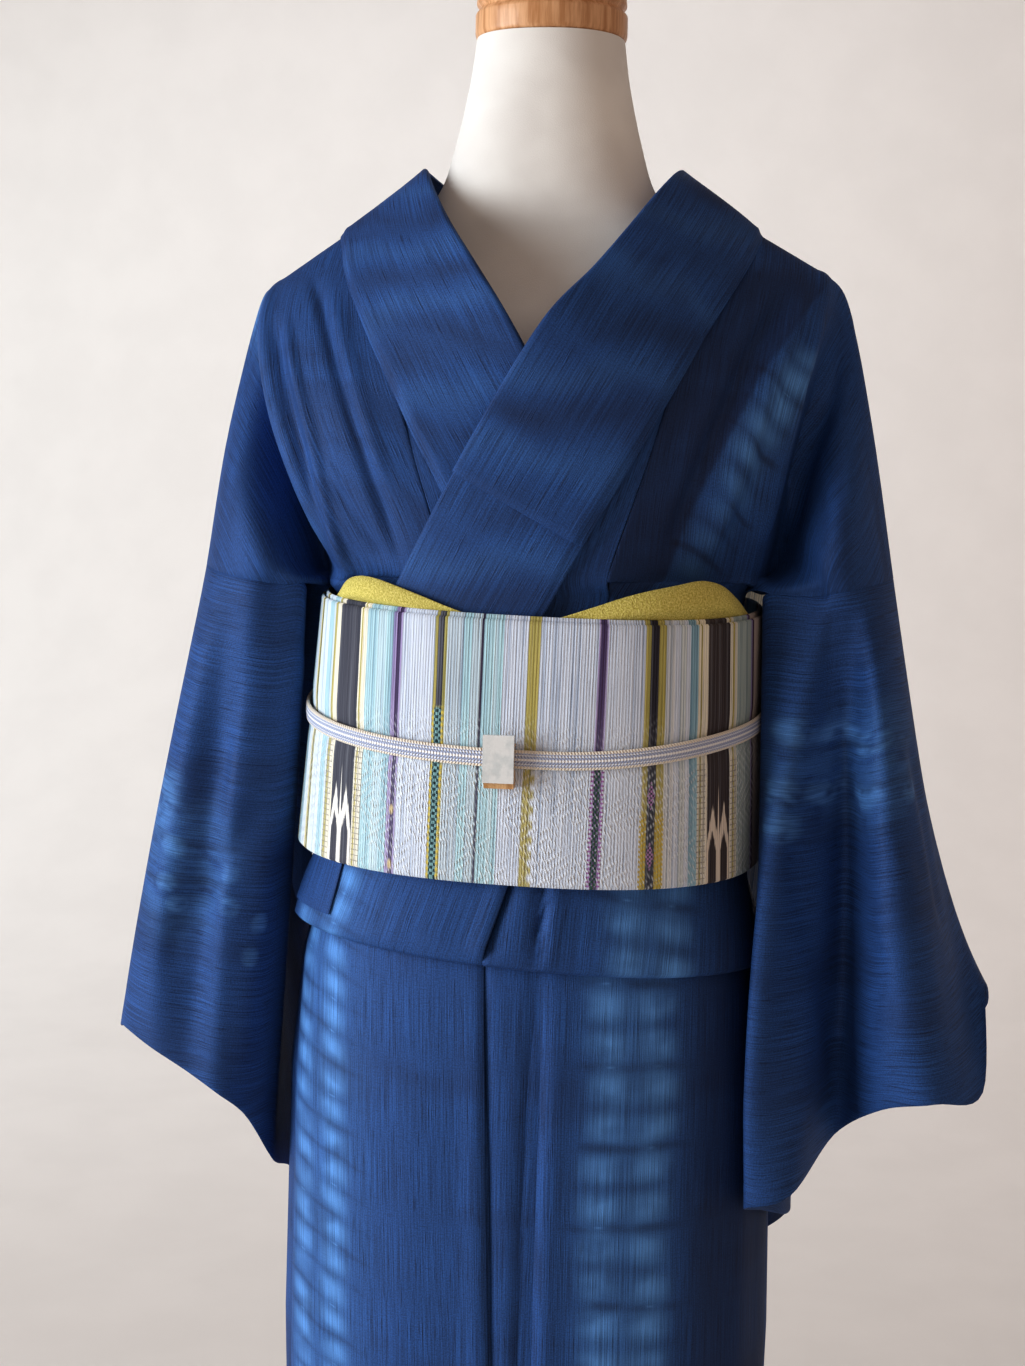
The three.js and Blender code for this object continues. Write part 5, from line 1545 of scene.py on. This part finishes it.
def crepe():
    paint = Paint("obiage_crepe", roughness=0.8, specular=0.2)
    across, along = paint.flat()
    grain = paint.noise(across * 1.0, along * 1.0, detail=3.0)
    wave = paint.noise(across * 0.25, along * 0.5, 4.0, detail=2.0)
    paint.between("b3a84c", "e6dc8c", grain.step(0.3, 0.7))
    paint.over("a09440", wave.step(0.5, 0.7) * 0.3)
    paint.bump(grain + wave, 0.5)
    return paint.done()


def braid():
    """Cream toothed edges, a lavender ground in slanting strands and a white line down the middle."""
    paint = Paint("obijime_braid", roughness=0.6, specular=0.3)
    across, along = paint.flat()
    beside = across.math("ABSOLUTE")
    strands = (along + beside * 0.8).cycle(1.9).spot(0.5, 0.5)
    teeth = along.cycle(1.9).spot(0.5, 0.5)
    paint.between("8592b6", "c4cde2", strands)
    paint.over("e6ebf5", within(beside, 2.2, 2.9, 0.2))
    paint.over("f4f5f8", beside.step(0.8, 0.5))
    paint.over("ebe4d8", (beside + teeth * 0.7).step(4.1, 4.4))
    paint.bump(strands + teeth, 0.3)
    return paint.done()


def glaze():
    paint = Paint("plate_glaze", roughness=0.22, coat=0.4)
    x, y, z = paint.place()
    blotch = paint.noise(x * 0.15, y * 0.15, z * 0.15, detail=3.0)
    pits = paint.noise(x * 1.5, y * 1.5, z * 1.5, detail=1.0)
    paint.bump(pits.step(0.62, 0.75), 0.08)
    paint.between("e4e8ea", "d3dadd", blotch.step(0.4, 0.65))
    return paint.done()


def wood(name, dark, light):
    paint = Paint(name, roughness=0.42, coat=0.15)
    x, y, z = paint.place()
    grain = paint.noise(x * 0.25, y * 0.25, z * 0.018, detail=4.0, rough=0.6)
    pores = paint.noise(x * 1.4, y * 1.4, z * 0.08, detail=1.0)
    paint.bump(grain + pores * 0.4, 0.12)
    paint.between(dark, light, grain.step(0.35, 0.65))
    paint.over(dark, pores.step(0.62, 0.75) * 0.5)
    return paint.done()


def knit():
    paint = Paint("form_jersey", roughness=0.85, specular=0.25)
    x, y, z = paint.place()
    loops = paint.noise(x * 1.6, y * 1.6, z * 1.6, detail=1.5)
    cloudy = paint.noise(x * 0.02, y * 0.02, z * 0.02)
    paint.bump(loops, 0.12)
    paint.between("e2e1df", "ebebe9", cloudy.step(0.35, 0.65))
    return paint.done()


def steel():
    paint = Paint("form_steel", roughness=0.3, metallic=1.0)
    x, y, z = paint.place()
    brushed = paint.noise(x * 0.1, y * 0.1, z * 2.5, detail=2.0)
    feed(paint.tree, paint.shader.inputs["Roughness"], brushed * 0.2 + 0.22)
    paint.bump(brushed, 0.02)
    paint.between("8d9093", "a9abad", brushed.step(0.3, 0.7))
    return paint.done()


def floor_paint(name, low, high):
    paint = Paint(name, roughness=0.9, specular=0.2)
    x, y, z = paint.place()
    mottled = paint.noise(x * 0.006, y * 0.006, z * 0.006, detail=3.0)
    paint.between(low, high, mottled.step(0.3, 0.7))
    return paint.done()


# ---------------------------------------------------------------- pieces
def add_piece(piece, node, material):
    piece.data.materials.append(material)
    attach(piece, "root")
    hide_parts(node)
    return piece


def add_cloth(
    node, grid, material,
    wall=SHOWN_WALL, flat=None,
):
    piece = add_piece(cloth(node + "_cloth", grid, wall, flat), node, material)


def body_flat(grid):
    """Flat coordinates of a body length: across from its fold ridge, along from its front hem.

    Every warp line keeps its own length in front, and from the back hem behind.
    """
    across = arc_lengths(grid, 1)
    ridge = across[:, RIDGE_COLUMN:RIDGE_COLUMN + 1]
    along = arc_lengths(grid, 0)
    whole = along[-1:]
    shoulder = int(np.argmax(grid[:, RIDGE_COLUMN, 2]))
    behind = ease(shoulder - 10, shoulder + 10, np.arange(len(grid)))[:, None]
    return np.dstack([ridge - across, along + behind * (whole.mean() - whole)])


plain = tsumugi("tsumugi_plain")
collar_silk = tsumugi("tsumugi_collar", collar_dye)
dye_left = sleeve_dye(SLEEVE_SPOTS_LEFT, ((330, 108), (110, 52)))
dye_right = sleeve_dye(SLEEVE_SPOTS_RIGHT, ((290, 190), (60, 60)))
silks = {
    "body_left": tsumugi("tsumugi_body_left", body_left_dye_and_shade),
    "body_right": tsumugi("tsumugi_body_right", body_right_dye),
    "okumi_left": tsumugi("tsumugi_okumi", okumi_dye),
    "okumi_right": plain,
    "sleeve_left": tsumugi("tsumugi_sleeve_left", dye_left, turned=True),
    "sleeve_right": tsumugi("tsumugi_sleeve_right", dye_right, turned=True),
}


def add_panel(node, grid, outward, flat=None):
    """A length of the body or okumi, creased over the skirt and, apart from that, over the waist fold."""
    for rows, lines in ((slice(SKIRT_ROWS), node + "_skirt"), (slice(RISING_FROM, None), node)):
        grid[rows] = creased(grid[rows], outward, CREASES.get(lines, ()))
    add_cloth(node, grid, silks[node], flat=flat)


for node, half, lines in (("body_left", LEFT, FRONT_LEFT), ("body_right", RIGHT, FRONT_RIGHT)):
    grid = body_grid(half, lines)
    add_panel(node, grid, -half.side, body_flat(grid))
for node, half, top, tip in (
    ("okumi_left", LEFT, OKUMI_TOP_LEFT, OKUMI_TIP_LEFT),
    ("okumi_right", RIGHT, OKUMI_TOP_RIGHT, OKUMI_TIP_RIGHT),
):
    add_panel(node, okumi_grid(half, top, tip), half.side)
add_cloth("collar", collar_grid(), collar_silk)
add_cloth("collar_cover", cover_grid(), collar_silk)
for node, half, bodice, front, back, shown in (
    ("sleeve_left", LEFT, FRONT_LEFT, SLEEVE_FRONT_LEFT, SLEEVE_BACK_LEFT, (0.6, 0.35)),
    ("sleeve_right", RIGHT, FRONT_RIGHT, SLEEVE_FRONT_RIGHT, SLEEVE_BACK_RIGHT, (0.53, 0.35)),
):
    grid = creased(sleeve_grid(half, bodice, front, back), half.side, CREASES[node])
    add_cloth(node, grid, silks[node])
add_cloth("collar_end", flap_grid(), plain)

obi_silk = obi_weave()
grid, flat = obi_wrap()
add_cloth("obi_wrap", grid, obi_silk, OBI_WALL, flat)
add_cloth("obi_drum", drum_grid(), obi_silk, OBI_WALL)
add_cloth("obi_tail", tail_grid(), obi_silk, OBI_WALL)
add_cloth("obi_end", end_grid(), obi_silk, OBI_WALL)
add_cloth("obiage", obiage_grid(), crepe(), OBIAGE_WALL)

points, faces, flat = cord_mesh()
add_piece(make_object("obijime_braid", points, faces, flat), "obijime", braid())

jersey, light_wood, grey_steel = knit(), wood("form_wood", "b98558", "dcae84"), steel()
for name, node, rings, slot, material in (
    ("form_torso_jersey", "form_torso", torso_rings(), "form_cloth", jersey),
    ("form_cap_turned", "form_neck_cap", turned_rings(CAP_PROFILE, 1.2), "form_wood", light_wood),
    ("form_base_turned", "form_base", turned_rings(BASE_PROFILE, 1.2), "form_wood", light_wood),
    ("form_flange_turned", "form_flange", turned_rings(FLANGE_PROFILE, 0.8), "form_steel", grey_steel),
    ("form_pole_drawn", "form_pole", turned_rings(POLE_PROFILE, 0.8), "form_steel", grey_steel),
):
    add_piece(lofted(name, rings), node, material)

for node, material in (("obidome_base", wood("dome_wood", "b4885a", "deb88a")), ("obidome_plate", glaze())):
    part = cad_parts[node]
    part.data.materials.clear()
    part.data.materials.append(material)


# ---------------------------------------------------------------- room and light
WALL_BEHIND = 4.3  # far enough to leave room for a look from behind
SWEEP_RADIUS = 1.6
ROOM_HALF_WIDTH = 7.0


def studio_sweep():
    """Floor and wall in one pale sheet, with a wide curve between them."""
    profile = [(-7.0, 0.0)]
    for angle in np.linspace(0, math.pi / 2, 33):
        y = WALL_BEHIND - SWEEP_RADIUS * (1 - math.sin(angle))
        profile.append((y, SWEEP_RADIUS * (1 - math.cos(angle))))
    profile.append((WALL_BEHIND, 6.0))
    points = [(x, y, z) for y, z in profile for x in (-ROOM_HALF_WIDTH, ROOM_HALF_WIDTH)]
    faces = [(2 * i, 2 * i + 1, 2 * i + 3, 2 * i + 2) for i in range(len(profile) - 1)]
    mesh = bpy.data.meshes.new("sweep")
    mesh.from_pydata(points, [], faces)
    mesh.shade_smooth()
    made = bpy.data.objects.new("sweep", mesh)
    made.data.materials.append(floor_paint("sweep_paint", "e4e2e0", "e7e5e3"))
    bpy.context.collection.objects.link(made)


studio_sweep()


def area_light(name, place, target, size, power, colour):
    data = bpy.data.lights.new(name, "AREA")
    data.shape = "RECTANGLE"
    data.size, data.size_y = size
    data.energy = power
    data.color = colour
    light = bpy.data.objects.new(name, data)
    light.location = place
    light.rotation_euler = (Vector(target) - Vector(place)).to_track_quat("-Z", "Y").to_euler()
    bpy.context.collection.objects.link(light)


area_light("window", (-2.4, -1.2, 1.3), (0, 0, 1.05), (1.8, 1.8), 84, (0.93, 0.975, 1.0))
area_light("fill", (1.6, -2.6, 1.8), (0, 0, 1.0), (2.5, 2.5), 11, (1.0, 0.76, 0.56))
area_light("wall_wash", (-3.2, 2.0, 1.3), (-2.2, WALL_BEHIND, 0.3), (2.0, 2.0), 30, (0.86, 0.96, 1.0))
area_light("wall_glow", (2.4, 2.0, 1.4), (2.0, WALL_BEHIND, 0.5), (2.0, 2.0), 5, (1.0, 0.72, 0.6))
area_light("sweep_wash", (-0.6, 2.1, 2.7), (-0.6, WALL_BEHIND, 0.2), (3.0, 0.8), 32, (0.92, 0.96, 1.0))
world = bpy.data.worlds.new("room")
bpy.context.scene.world = world
world.use_nodes = True
world.node_tree.nodes["Background"].inputs["Color"].default_value = (1.0, 0.79, 0.68, 1)
world.node_tree.nodes["Background"].inputs["Strength"].default_value = 0.36
bpy.context.scene.view_settings.view_transform = "Standard"
bpy.context.scene.view_settings.gamma = 0.85
